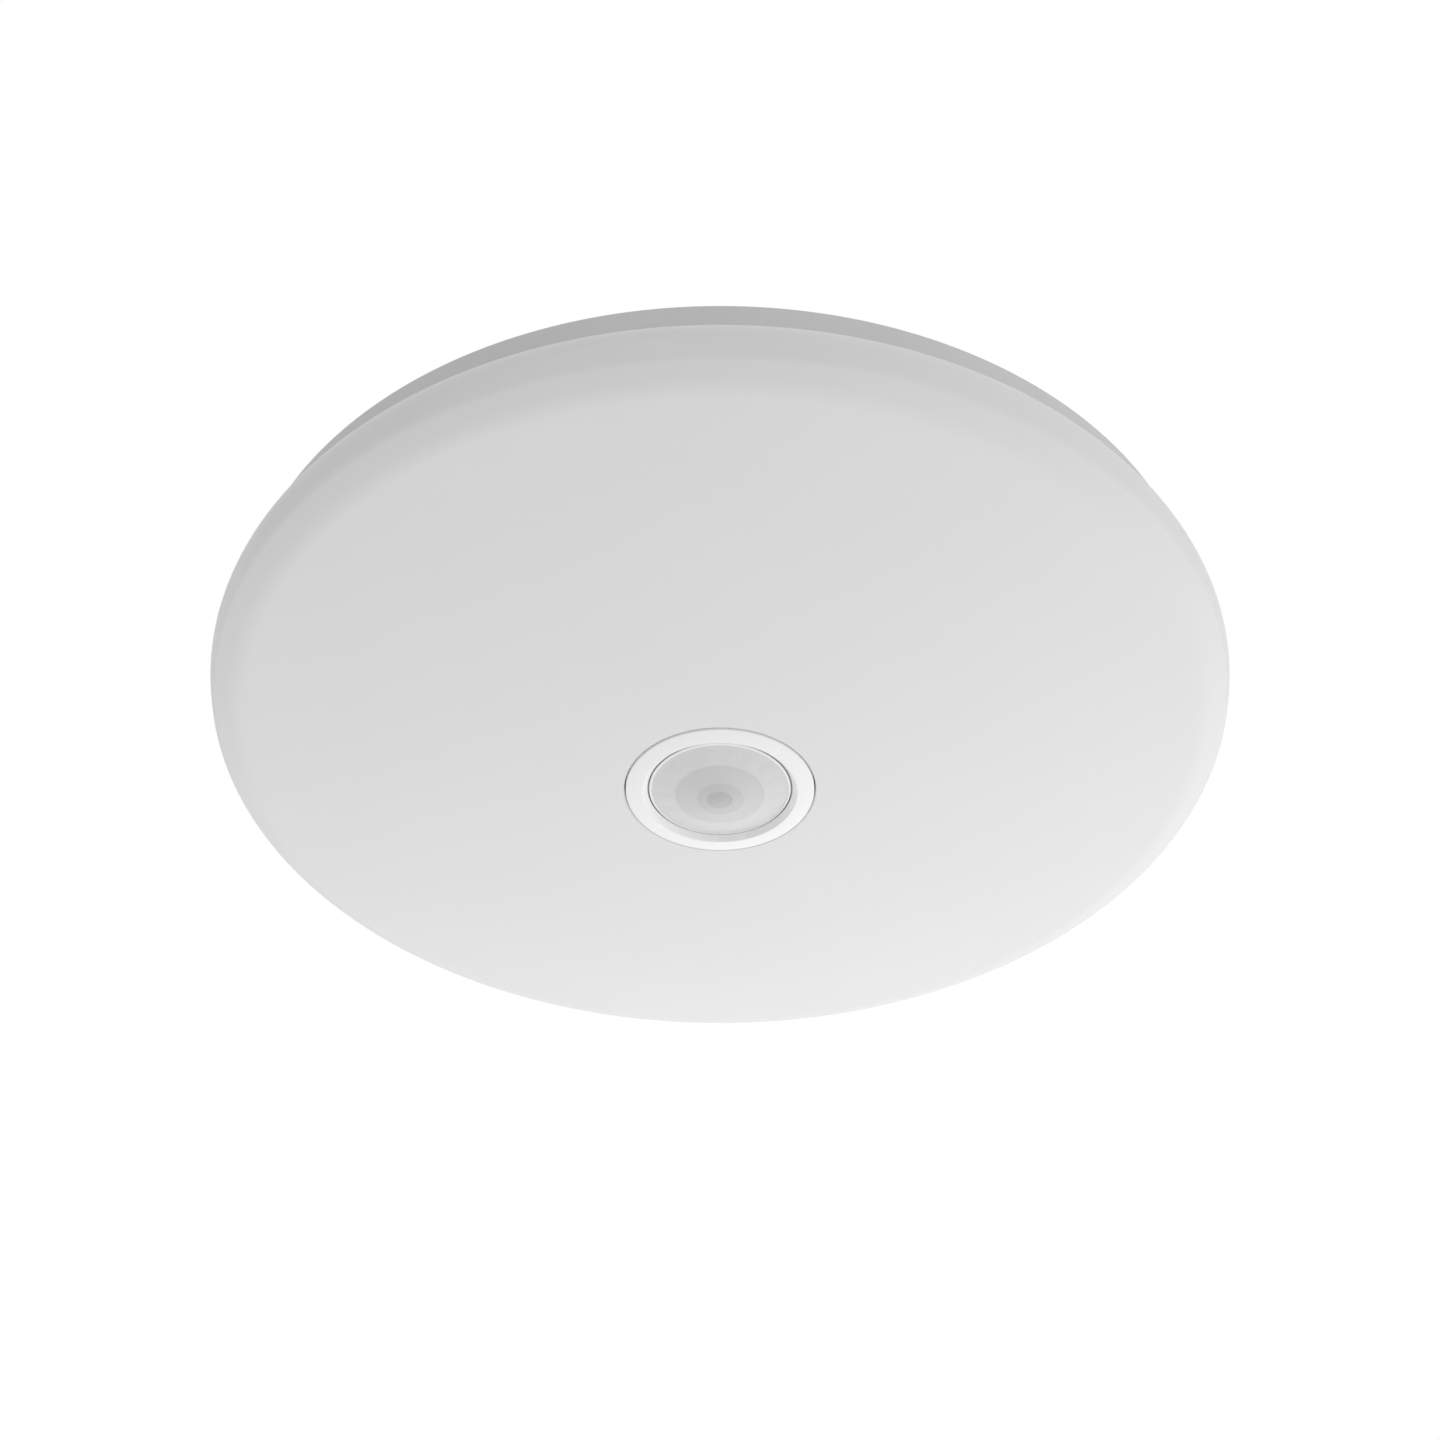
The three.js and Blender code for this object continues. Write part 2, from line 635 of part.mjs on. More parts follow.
const SENSOR_PART_TOP = POD_LEDGE_Z - 2 * GAP - BOARD;

function pirDetector() {
  const { rim, r, height, flange, bevel } = DETECTOR;
  const end = SENSOR_PART_TOP - height;
  return revolve([
    [0, SENSOR_PART_TOP],
    [rim, SENSOR_PART_TOP],
    [rim, SENSOR_PART_TOP - flange],
    [r, SENSOR_PART_TOP - flange],
    [r, end + bevel],
    [r - bevel, end],
    [0, end],
  ], SMALL * 2);
}

function pirWindow() {
  const { x, y, height } = DETECTOR_WINDOW;
  const top = SENSOR_PART_TOP - DETECTOR.height - GAP;
  return block(-x / 2, x / 2, -y / 2, y / 2, top - height, top);
}

function lightSensor() {
  return drum(LIGHT_CELL.x, 0, LIGHT_CELL.r, SENSOR_PART_TOP - LIGHT_CELL.height, SENSOR_PART_TOP);
}

function sensorPlug() {
  const { x, y0, y1, height } = SENSOR_PLUG;
  return block(-x, x, y0, y1, POD_LEDGE_Z, POD_LEDGE_Z + height);
}

function settingBoard() {
  const edge = BAY.wall + GAP;
  const y = BAY.y - edge;
  return block(BAY.inner + GAP, BAY.x1 - edge, -y, y, SETTING_BOARD_TOP - BOARD, SETTING_BOARD_TOP);
}

const TRIMMER_TOP = SETTING_BOARD_TOP - BOARD - GAP;
const TRIMMER_END = TRIMMER_TOP - TRIMMER_HEIGHT;

function trimmer(y) {
  const half = TRIMMER_HALF;
  return block(-half, half, -half, half, TRIMMER_END, TRIMMER_TOP).translate(DIAL_X, y, 0);
}

// A round knob with a slot for a screwdriver across its face, centred on its own axis.
function dial() {
  const end = BAY.depth - DIAL_PROUD;
  const knob = drum(0, 0, DIAL_R, end, TRIMMER_END - GAP);
  const half = DIAL_SLOT.width / 2;
  const reach = DIAL_R - DIAL_SLOT.inset;
  return cut(knob, block(-half, half, -reach, reach, end - 1, end + DIAL_SLOT.depth));
}

function fresnelLens() {
  const apex = LENS_RIM_Z - LENS_RISE;
  const outside = [];
  const inside = [];
  const steps = 5;
  for (let i = 0; i <= steps; i++) {
    const share = i / steps;
    const height = LENS_RISE * share ** LENS_CURVE;
    outside.push([LENS_R * share, apex + height]);
    inside.push([(LENS_R - LENS_WALL) * share, apex + height + LENS_WALL]);
  }
  const lip = [
    [LENS_R, LENS_LIP_FACE],
    [LENS_LIP_R, LENS_LIP_FACE],
    [LENS_LIP_R, LENS_LIP_FACE + LENS_WALL],
    [LENS_R - LENS_WALL, LENS_LIP_FACE + LENS_WALL],
  ];
  return revolve([...outside, ...lip, ...inside.reverse()], MEDIUM);
}

function bezelRing() {
  const skirt = POD_R + GAP;
  const line = [
    [BEZEL_BORE_R, BEZEL_BACK],
    [BEZEL_BORE_R, LENS_RIM_Z],
    [BEZEL_INNER_R - 0.3, BEZEL_FACE + 0.3],
    [BEZEL_INNER_R, BEZEL_FACE],
  ];
  const edgeSteps = 4;
  for (let i = 0; i <= edgeSteps; i++) {
    const angle = (i / edgeSteps) * (Math.PI / 2);
    line.push([
      BEZEL_R - BEZEL_EDGE * (1 - Math.sin(angle)),
      BEZEL_FACE + BEZEL_FALL + BEZEL_EDGE * (1 - Math.cos(angle)),
    ]);
  }
  return revolve([
    ...line,
    [BEZEL_R, BEZEL_SKIRT_TOP],
    [skirt, BEZEL_SKIRT_TOP],
    [skirt, BEZEL_BACK],
  ], MEDIUM);
}

// A strip bent from a foot on the base, down past the pan's wall, to a nose at the diffuser's rim.
function retainingClip() {
  const foot = FLOOR_Z - GAP;
  const bends = [
    [CLIP_SCREW_R - 3.5, foot],
    [137.4, foot],
    [138.8, foot - 0.5],
    [139.4, foot - 1.8],
    [139.8, NOTCH_TOP],
    [CLIP_NOSE_R - 0.8, -15.4],
    [CLIP_NOSE_R, -16.2],
    [CLIP_NOSE_R - 0.8, -17],
    [141, -19.5],
  ];
  const corners = [...bends, ...offset(bends, CLIP_STRIP).reverse()];
  const outline = new THREE.Shape(corners.map(([r, z]) => new THREE.Vector2(r, z)));
  const strip = new THREE.ExtrudeGeometry(outline, { depth: CLIP_WIDTH, bevelEnabled: false });
  strip.translate(0, 0, -CLIP_WIDTH / 2);
  strip.rotateX(Math.PI / 2);
  return cut(strip, drum(CLIP_SCREW_R, 0, PILOT_R, foot - 2, foot + 1));
}

// Three leads from the terminal block, side by side round the sensor pod, into the driver.
function mainsLead(pole) {
  const bend = 50.5 - pole * 3.4;
  const x = pole * POLE_STEP;
  const end = -30 + pole * 3.6;
  const round = [236, 208, 180, 155, 138].map((angle) => polar(bend, degrees(angle), WIRE_Z - 0.4));
  return lead([
    [x, TERMINAL.y1 - 5, WIRE_Z],
    [x, TERMINAL.y1 + 1, WIRE_Z],
    [x - 5, -bend - 3, WIRE_Z],
    [x - 14, -bend + 1.2, WIRE_Z],
    ...round,
    [end, DRIVER.y0 - 1, WIRE_Z - 1],
    [end, DRIVER.y0 + 4, WIRE_Z - 1.4],
  ], MAINS_LEAD_R, 20);
}

function ledLead(side) {
  const [x, y] = polar(LED_RING_R - 2.5, LED_PLUG_ANGLE);
  const across = [-Math.sin(LED_PLUG_ANGLE) * side * 2, Math.cos(LED_PLUG_ANGLE) * side * 2];
  const z = LED_BOARD_FACE - GAP - 2;
  return lead([
    [DRIVER.x - 4, 67 + side * 1.6, -12.2],
    [DRIVER.x + 3, 67 + side * 1.6, -12.2],
    [DRIVER.x + 17, 68 + side * 1.8, -12.6],
    [x - 7 + across[0], y - 6 + across[1], z],
    [x + across[0], y + across[1], z],
  ], THIN_LEAD_R, 12);
}

function sensorLead(side) {
  const x = side * 2.6;
  return lead([
    [x, 12, POD_LEDGE_Z + 6 + GAP],
    [x, 12.5, -14],
    [x, 16, -8.6],
    [x, 24, -6.9],
    [x, 34, -7.2],
    [x, 39, -10],
    [x, DRIVER.y0 + 0.5, -11.8],
    [x, DRIVER.y0 + 2.4, -12],
  ], THIN_LEAD_R, 13);
}

// A flat ribbon from the setting board down to the sensor board.
function settingRibbon() {
  const curve = new THREE.CatmullRomCurve3([
    new THREE.Vector3(34, 0, -7.2),
    new THREE.Vector3(27, 0, -6.6),
    new THREE.Vector3(19, 0, -8.5),
    new THREE.Vector3(16.5, 0, -16),
    new THREE.Vector3(16.5, 0, POD_LEDGE_Z + GAP),
  ]);
  const section = new THREE.Shape();
  section.moveTo(-3, -0.35);
  section.lineTo(3, -0.35);
  section.lineTo(3, 0.35);
  section.lineTo(-3, 0.35);
  section.closePath();
  return new THREE.ExtrudeGeometry(section, { steps: 12, extrudePath: curve, bevelEnabled: false });
}

const light = new THREE.Group();

function add(name, geometry, material, position = [0, 0, 0], turn = 0) {
  const mesh = new THREE.Mesh(geometry, material);
  mesh.name = name;
  mesh.position.set(...position);
  mesh.rotation.z = turn;
  light.add(mesh);
}

function addBase() {
  add('base_plate', basePlate(), WHITE_PLASTIC);
  add('cable_grommet', cableGrommet(), RUBBER);
}

function addTerminals() {
  add('terminal_block', terminalBlock(), GREY_PLASTIC);
  [-1, 0, 1].forEach((pole, i) => {
    add(`terminal_button_${i + 1}`, terminalButton(), ORANGE_PLASTIC, [pole * POLE_STEP, BUTTON_Y, 0]);
  });
}

function addDriver() {
  add('driver_tray', driverTray(), WHITE_PLASTIC);
  add('driver_board', driverBoard(), BOARD_GREEN);
  add('driver_transformer', driverTransformer(), COPPER);
  add('driver_choke', driverChoke(), BLACK_PLASTIC);
  add('driver_capacitor', driverCapacitor(), BLACK_PLASTIC);
  add('driver_cover', driverCover(), WHITE_PLASTIC);
  const bearing = FLOOR_Z - 2 - 2 * GAP;
  [-1, 1].forEach((side, i) => {
    add(`driver_screw_${i + 1}`, screw(5.8), STEEL, [side * EAR.x, EAR.y, bearing]);
  });
}

function addLeds() {
  add('led_board', ledBoard(), BOARD_WHITE);
  add('led_connector', ledConnector(), WHITE_PLASTIC);
  for (let i = 0; i < LED_SCREWS; i++) {
    add(`led_screw_${i + 1}`, screw(7.2), STEEL, polar(LED_RING_R, ledScrewAngle(i), LED_BOARD_FACE - GAP));
  }
}

function addSensor() {
  add('sensor_housing', sensorHousing(), WHITE_PLASTIC);
  const bearing = FLOOR_Z - POD_FLANGE - 2 * GAP;
  POD_SCREW_ANGLES.forEach((angle, i) => {
    add(`sensor_screw_${i + 1}`, screw(6.6), STEEL, polar(POD_SCREW_R, degrees(angle), bearing));
  });
  add('sensor_board', sensorBoard(), BOARD_GREEN);
  add('pir_detector', pirDetector(), CAN_METAL);
  add('pir_window', pirWindow(), WINDOW);
  add('light_sensor', lightSensor(), RED_LEAD);
  add('sensor_plug', sensorPlug(), WHITE_PLASTIC);
  add('setting_board', settingBoard(), BOARD_GREEN);
  add('setting_ribbon', settingRibbon(), GREY_PLASTIC);
  add('lux_trimmer', trimmer(DIAL_Y), BLUE_PLASTIC);
  add('time_trimmer', trimmer(-DIAL_Y), BLUE_PLASTIC);
  add('lux_dial', dial(), WHITE_LEAD, [DIAL_X, DIAL_Y, 0]);
  add('time_dial', dial(), WHITE_LEAD, [DIAL_X, -DIAL_Y, 0]);
  add('fresnel_lens', fresnelLens(), LENS_PLASTIC);
  add('bezel_ring', bezelRing(), WHITE_PLASTIC);
}

function addDiffuser() {
  add('diffuser', diffuser(), OPAL);
  CLIP_ANGLES.forEach((angle, i) => {
    add(`retaining_clip_${i + 1}`, retainingClip(), STEEL, [0, 0, 0], degrees(angle));
    const bearing = FLOOR_Z - CLIP_STRIP - 2 * GAP;
    add(`clip_screw_${i + 1}`, screw(4.4), STEEL, polar(CLIP_SCREW_R, degrees(angle), bearing));
  });
}

function addLeads() {
  add('lead_live', mainsLead(-1), BROWN_LEAD);
  add('lead_neutral', mainsLead(0), BLUE_LEAD);
  add('lead_switched', mainsLead(1), BLACK_LEAD);
  add('led_lead_positive', ledLead(1), RED_LEAD);
  add('led_lead_negative', ledLead(-1), BLACK_LEAD);
  [-1, 0, 1].forEach((side, i) => {
    add(`sensor_lead_${i + 1}`, sensorLead(side), [RED_LEAD, BLACK_LEAD, WHITE_LEAD][i]);
  });
}

addBase();
addTerminals();
addDriver();
addLeds();
addSensor();
addDiffuser();
addLeads();

export default light;
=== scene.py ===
import json
import math

import bmesh
import bpy
from mathutils import Matrix, Vector


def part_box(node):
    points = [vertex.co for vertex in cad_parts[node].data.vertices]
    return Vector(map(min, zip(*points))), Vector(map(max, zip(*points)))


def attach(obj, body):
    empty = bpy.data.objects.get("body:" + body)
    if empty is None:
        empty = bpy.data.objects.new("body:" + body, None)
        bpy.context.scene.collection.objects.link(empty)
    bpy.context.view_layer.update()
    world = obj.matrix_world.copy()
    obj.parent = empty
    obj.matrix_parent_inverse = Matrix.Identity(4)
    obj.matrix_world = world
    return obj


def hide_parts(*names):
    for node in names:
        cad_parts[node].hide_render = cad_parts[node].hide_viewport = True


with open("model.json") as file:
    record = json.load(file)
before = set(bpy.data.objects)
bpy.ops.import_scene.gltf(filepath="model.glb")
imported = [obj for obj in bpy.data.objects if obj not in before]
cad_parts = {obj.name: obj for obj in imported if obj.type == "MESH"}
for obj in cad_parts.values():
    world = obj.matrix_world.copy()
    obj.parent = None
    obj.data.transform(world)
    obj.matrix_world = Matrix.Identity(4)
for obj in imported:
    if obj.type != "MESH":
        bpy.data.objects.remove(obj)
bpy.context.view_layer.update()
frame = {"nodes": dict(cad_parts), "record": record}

# Shapes are written in millimetres and become metres as they turn into meshes.
MM = 0.001

TINY = 1e-6
MERGE_DISTANCE = 1e-4  # millimetres
SHARP_ANGLE = 38  # degrees


def span(node):
    """The lowest and highest corner of a CAD node, in millimetres."""
    low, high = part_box(node)
    return Vector(low) / MM, Vector(high) / MM


# ---------------------------------------------------------------- shapes
# A shape is (points, faces). Functions make, move and merge shapes, and show() turns one into a piece.


def merged(*shapes):
    points, faces = [], []
    for more_points, more_faces in shapes:
        start = len(points)
        points += more_points
        faces += [tuple(i + start for i in face) for face in more_faces]
    return points, faces


def placed(shape, matrix):
    return [matrix @ Vector(p) for p in shape[0]], shape[1]


def shifted(shape, x=0.0, y=0.0, z=0.0):
    return placed(shape, Matrix.Translation((x, y, z)))


def spun(shape, angle):
    return placed(shape, Matrix.Rotation(angle, 4, "Z"))


def from_bmesh(bm):
    bm.verts.index_update()
    points = [v.co.copy() for v in bm.verts]
    faces = [tuple(v.index for v in f.verts) for f in bm.faces]
    bm.free()
    return points, faces


def to_bmesh(shape):
    bm = bmesh.new()
    verts = [bm.verts.new(p) for p in shape[0]]
    for face in shape[1]:
        bm.faces.new([verts[i] for i in face])
    return bm


def revolved(profile, steps):
    """Turns a closed outline of (r, z) corners about the Z axis. A corner on the axis becomes one point."""
    points, rings = [], []
    for r, z in profile:
        if r < TINY:
            rings.append([len(points)] * steps)
            points.append(Vector((0, 0, z)))
            continue
        rings.append(list(range(len(points), len(points) + steps)))
        for i in range(steps):
            angle = 2 * math.pi * i / steps
            points.append(Vector((r * math.cos(angle), r * math.sin(angle), z)))
    faces = []
    for lower, upper in zip(rings, rings[1:] + rings[:1]):
        for i in range(steps):
            j = (i + 1) % steps
            loop = []
            for index in (lower[i], lower[j], upper[j], upper[i]):
                if index not in loop:
                    loop.append(index)
            if len(loop) > 2:
                faces.append(tuple(loop))
    return points, faces


def filleted(corners, steps=4):
    """A closed outline from (a, b, radius) corners. A corner with a radius becomes an arc."""
    outline = []
    count = len(corners)
    for i, (a, b, radius) in enumerate(corners):
        here = Vector((a, b))
        if radius <= 0:
            outline.append((a, b))
            continue
        before = Vector(corners[i - 1][:2]) - here
        after = Vector(corners[(i + 1) % count][:2]) - here
        before.normalize()
        after.normalize()
        half = math.acos(max(-1.0, min(1.0, before.dot(after)))) / 2
        reach = radius / math.tan(half)
        centre = here + (before + after).normalized() * (radius / math.sin(half))
        start = here + before * reach - centre
        end = here + after * reach - centre
        sweep = start.angle_signed(end)
        for k in range(steps + 1):
            turned = start.copy()
            turned.rotate(Matrix.Rotation(-sweep * k / steps, 2))
            outline.append(tuple(centre + turned))
    return outline


def brick(x0, x1, y0, y1, z0, z1, edge=0.3, segments=2):
    """A box with rounded edges."""
    bm = bmesh.new()
    bmesh.ops.create_cube(bm, size=1.0)
    for v in bm.verts:
        v.co = Vector((
            (x0 + x1) / 2 + v.co.x * (x1 - x0),
            (y0 + y1) / 2 + v.co.y * (y1 - y0),
            (z0 + z1) / 2 + v.co.z * (z1 - z0),
        ))
    if edge:
        bmesh.ops.bevel(bm, geom=bm.edges[:], offset=edge, segments=segments, profile=0.5, affect="EDGES")
    return from_bmesh(bm)


def drum(x, y, r, z0, z1, steps=48, edge=0.0):
    """A round bar with rounded rims."""
    outline = filleted([(0, z0, 0), (r, z0, edge), (r, z1, edge), (0, z1, 0)], 3)
    return shifted(revolved(outline, steps), x, y)


def tube(inner, outer, z0, z1, steps=256, edge=0.3):
    outline = filleted([(inner, z0, edge), (outer, z0, edge), (outer, z1, edge), (inner, z1, edge)], 2)
    return revolved(outline, steps)


def extruded(outline, z0, z1, edge=0.2):
    """A flat outline of (x, y) points as a slab, with its rims bevelled."""
    bm = bmesh.new()
    verts = [bm.verts.new((x, y, z0)) for x, y in outline]
    face = bm.faces.new(verts)
    raised = bmesh.ops.extrude_face_region(bm, geom=[face])
    lifted = [g for g in raised["geom"] if isinstance(g, bmesh.types.BMVert)]
    bmesh.ops.translate(bm, verts=lifted, vec=(0, 0, z1 - z0))
    bm.normal_update()
    if edge:
        rims = [e for e in bm.edges if abs(e.verts[0].co.z - e.verts[1].co.z) < TINY]
        bmesh.ops.bevel(bm, geom=rims, offset=edge, segments=2, profile=0.5, affect="EDGES")
    return from_bmesh(bm)


def around(radius, angle):
    return radius * math.cos(angle), radius * math.sin(angle)


def arc(x, y, radius, start, end, steps):
    """Points on a circle, from one angle to another in degrees."""
    angles = [math.radians(start + (end - start) * i / steps) for i in range(steps + 1)]
    return [(x + radius * math.cos(a), y + radius * math.sin(a)) for a in angles]


def smooth_path(points, per_span):
    """A centripetal Catmull-Rom curve through the points."""
    points = [Vector(p) for p in points]
    points = [points[0] * 2 - points[1], *points, points[-1] * 2 - points[-2]]
    path = []
    for p0, p1, p2, p3 in zip(points, points[1:], points[2:], points[3:]):
        t1 = (p1 - p0).length ** 0.5
        t2 = t1 + (p2 - p1).length ** 0.5
        t3 = t2 + (p3 - p2).length ** 0.5
        for i in range(per_span):
            t = t1 + (t2 - t1) * i / per_span
            a1 = p0.lerp(p1, t / t1)
            a2 = p1.lerp(p2, (t - t1) / (t2 - t1))
            a3 = p2.lerp(p3, (t - t2) / (t3 - t2))
            b1 = a1.lerp(a2, t / t2)
            b2 = a2.lerp(a3, (t - t1) / (t3 - t1))
            path.append(b1.lerp(b2, (t - t1) / (t2 - t1)))
    path.append(points[-2])
    return path


def swept(path, section):
    """Carries a closed section of (across, up) points along a path, with flat ends."""
    points, faces = [], []
    up = Vector((0, 0, 1))
    tangent = (path[1] - path[0]).normalized()
    if abs(tangent.dot(up)) > 0.9:
        up = Vector((0, 1, 0))
    count = len(section)
    for i, here in enumerate(path):
        ahead = path[min(i + 1, len(path) - 1)]
        behind = path[max(i - 1, 0)]
        tangent = (ahead - behind).normalized()
        side = tangent.cross(up).normalized()
        up = side.cross(tangent).normalized()
        points += [here + side * a + up * b for a, b in section]
    for i in range(len(path) - 1):
        for j in range(count):
            k = (j + 1) % count
            faces.append((i * count + j, i * count + k, (i + 1) * count + k, (i + 1) * count + j))
    faces.append(tuple(range(count)))
    faces.append(tuple(range((len(path) - 1) * count, len(path) * count)))
    return points, faces


def carved(shape, joins=(), cuts=()):
    """Joins shapes to a closed shape and cuts others out of it."""
    body = plain_object("carved", shape)
    tools = []
    for operation, parts in (("UNION", joins), ("DIFFERENCE", cuts)):
        for part in parts:
            tool = plain_object("tool", part)
            tools.append(tool)
            modifier = body.modifiers.new("cut", "BOOLEAN")
            modifier.operation = operation
            modifier.solver = "EXACT"
            modifier.object = tool
    result = body.evaluated_get(bpy.context.evaluated_depsgraph_get()).to_mesh()
    points = [v.co.copy() for v in result.vertices]
    faces = [tuple(p.vertices) for p in result.polygons]
    for obj in (body, *tools):
        mesh = obj.data
        bpy.data.objects.remove(obj)
        bpy.data.meshes.remove(mesh)
    return points, faces


def plain_object(name, shape, scale=1.0, slots=()):
    """An object from a shape, with a material slot number for each face where these are given."""
    bm = to_bmesh(shape)
    for face, slot in zip(bm.faces, slots):
        face.material_index = slot
    bmesh.ops.remove_doubles(bm, verts=bm.verts[:], dist=MERGE_DISTANCE)
    bmesh.ops.recalc_face_normals(bm, faces=bm.faces[:])
    bmesh.ops.scale(bm, vec=(scale,) * 3, verts=bm.verts[:])
    mesh = bpy.data.meshes.new(name)
    bm.to_mesh(mesh)
    bm.free()
    obj = bpy.data.objects.new(name, mesh)
    bpy.context.scene.collection.objects.link(obj)
    return obj


def show(name, shape, material, body="base", nodes=(), sharp=SHARP_ANGLE, weighted=True):
    """Makes a piece from a shape: it rides on a body and stands for the CAD nodes that it replaces."""
    obj = plain_object(name, shape, MM)
    obj.data.materials.append(material)
    obj.data.polygons.foreach_set("use_smooth", [True] * len(obj.data.polygons))
    obj.data.set_sharp_from_angle(angle=math.radians(sharp))
    if weighted:
        obj.modifiers.new("flat faces", "WEIGHTED_NORMAL").keep_sharp = True
    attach(obj, body)
    if nodes:
        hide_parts(*nodes)
    return obj


def soften(obj, width):
    """Rounds the sharp edges of an object that was cut from flat faces."""
    merge = obj.modifiers.new("merge", "WELD")
    merge.merge_threshold = 0.002 * MM
    flat = obj.modifiers.new("flat", "DECIMATE")
    flat.decimate_type = "DISSOLVE"
    flat.angle_limit = math.radians(1)
    round_over = obj.modifiers.new("round", "BEVEL")
    round_over.width = width * MM
    round_over.segments = 2
    round_over.limit_method = "ANGLE"
    round_over.angle_limit = math.radians(SHARP_ANGLE)
    round_over.harden_normals = True


SLOTS = {row["node"]: row["material_slot"] for row in frame["record"]["subparts"]}


# ---------------------------------------------------------------- materials


class Finish:
    """A Principled material with its colour, roughness and bump worked out by noise nodes."""

    def __init__(self, name, colour, roughness, metallic=0.0):
        self.material = bpy.data.materials.new(name)
        self.material.use_nodes = True
        self.nodes = self.material.node_tree.nodes
        self.links = self.material.node_tree.links
        self.shader = self.nodes["Principled BSDF"]
        self.shader.inputs["Metallic"].default_value = metallic
        self.shader.inputs["Roughness"].default_value = roughness
        self.place = self.nodes.new("ShaderNodeTexCoord").outputs["Object"]
        self.colour = colour
        self.normal = None

    def noise(self, size_mm, detail=2.0, stretch=(1, 1, 1)):
        node = self.nodes.new("ShaderNodeTexNoise")
        node.inputs["Scale"].default_value = 1 / (size_mm * MM)
        node.inputs["Detail"].default_value = detail
        place = self.place
        if stretch != (1, 1, 1):
            mapping = self.nodes.new("ShaderNodeMapping")
            mapping.inputs["Scale"].default_value = stretch
            self.links.new(place, mapping.inputs["Vector"])
            place = mapping.outputs["Vector"]
        self.links.new(place, node.inputs["Vector"])
        return node.outputs["Fac"]

    def spread(self, value, low, high, start=0.3, end=0.7):
        node = self.nodes.new("ShaderNodeMapRange")
        for key, number in zip(("From Min", "From Max", "To Min", "To Max"), (start, end, low, high)):
            node.inputs[key].default_value = number
        self.links.new(value, node.inputs["Value"])
        return node.outputs["Result"]

    def mixed(self, value, first, second):
        node = self.nodes.new("ShaderNodeMix")
        node.data_type = "RGBA"
        self.links.new(value, node.inputs["Factor"])
        for key, colour in (("A", first), ("B", second)):
            socket = [s for s in node.inputs if s.name == key and s.type == "RGBA"][0]
            if isinstance(colour, bpy.types.NodeSocket):
                self.links.new(colour, socket)
            else:
                socket.default_value = (*colour, 1.0)
        return [s for s in node.outputs if s.type == "RGBA"][0]

    def mottled(self, size_mm, amount):
        """Lets the colour drift a little, darker and lighter."""
        darker = [c * (1 - amount) for c in self.colour]
        lighter = [min(c * (1 + amount), 1.0) for c in self.colour]
        value = self.spread(self.noise(size_mm, 4.0), 0.0, 1.0)
        self.paint(self.mixed(value, darker, lighter))
        return self

    def worn(self, colour, start=0.53, end=0.62, amount=0.6):
        """Shows another tone where edges stick out."""
        edge = self.nodes.new("ShaderNodeNewGeometry").outputs["Pointiness"]
        value = self.spread(edge, 0.0, amount, start, end)
        self.paint(self.mixed(value, self.painted, colour))
        return self

    def paint(self, socket):
        self.painted = socket
        self.links.new(socket, self.shader.inputs["Base Color"])

    def rough(self, size_mm, low, high):
        self.links.new(self.spread(self.noise(size_mm, 3.0), low, high), self.shader.inputs["Roughness"])
        return self

    def bumped(self, value, depth_mm, strength=1.0):
        node = self.nodes.new("ShaderNodeBump")
        node.inputs["Strength"].default_value = strength
        node.inputs["Distance"].default_value = depth_mm * MM
        self.links.new(value, node.inputs["Height"])
        if self.normal is not None:
            self.links.new(self.normal, node.inputs["Normal"])
        self.normal = node.outputs["Normal"]
        self.links.new(self.normal, self.shader.inputs["Normal"])
        return self

    def grained(self, size_mm, depth_mm, stretch=(1, 1, 1)):
        return self.bumped(self.noise(size_mm, 3.0, stretch), depth_mm)

    def set(self, **values):
        for key, value in values.items():
            self.shader.inputs[key.replace("_", " ")].default_value = value
        return self


def moulded(name, colour, roughness, grain=0.8, depth=0.02, mottle=0.015):
    """Injection-moulded plastic with a fine spark-eroded grain."""
    finish = Finish(name, colour, roughness).mottled(35, mottle)
    finish.rough(6, roughness - 0.05, roughness + 0.06).grained(grain, depth)
    lighter = [min(1.0, c * 1.06 + 0.01) for c in colour]
    return finish.worn(lighter).material


def metal(name, colour, roughness, stretch=(1, 1, 1)):
    finish = Finish(name, colour, roughness, metallic=1.0).mottled(4, 0.06)
    finish.rough(1.2, roughness - 0.06, roughness + 0.1).grained(0.5, 0.006, stretch)
    return finish.material


def insulation(name, colour):
    finish = Finish(name, colour, 0.42).mottled(9, 0.05)
    return finish.rough(2.5, 0.36, 0.5).grained(0.6, 0.01).material


def opal_material():
    """Satin opal plastic: nearly plain white, a little light scatters inside it."""
    finish = Finish("opal", (0.8, 0.8, 0.8), 0.4)
    finish.mottled(70, 0.006).rough(14, 0.37, 0.44).grained(1.6, 0.006)
    finish.set(Subsurface_Weight=0.12, Subsurface_Scale=0.004)
    finish.shader.inputs["Subsurface Radius"].default_value = (1.0, 1.0, 1.0)
    return finish.material


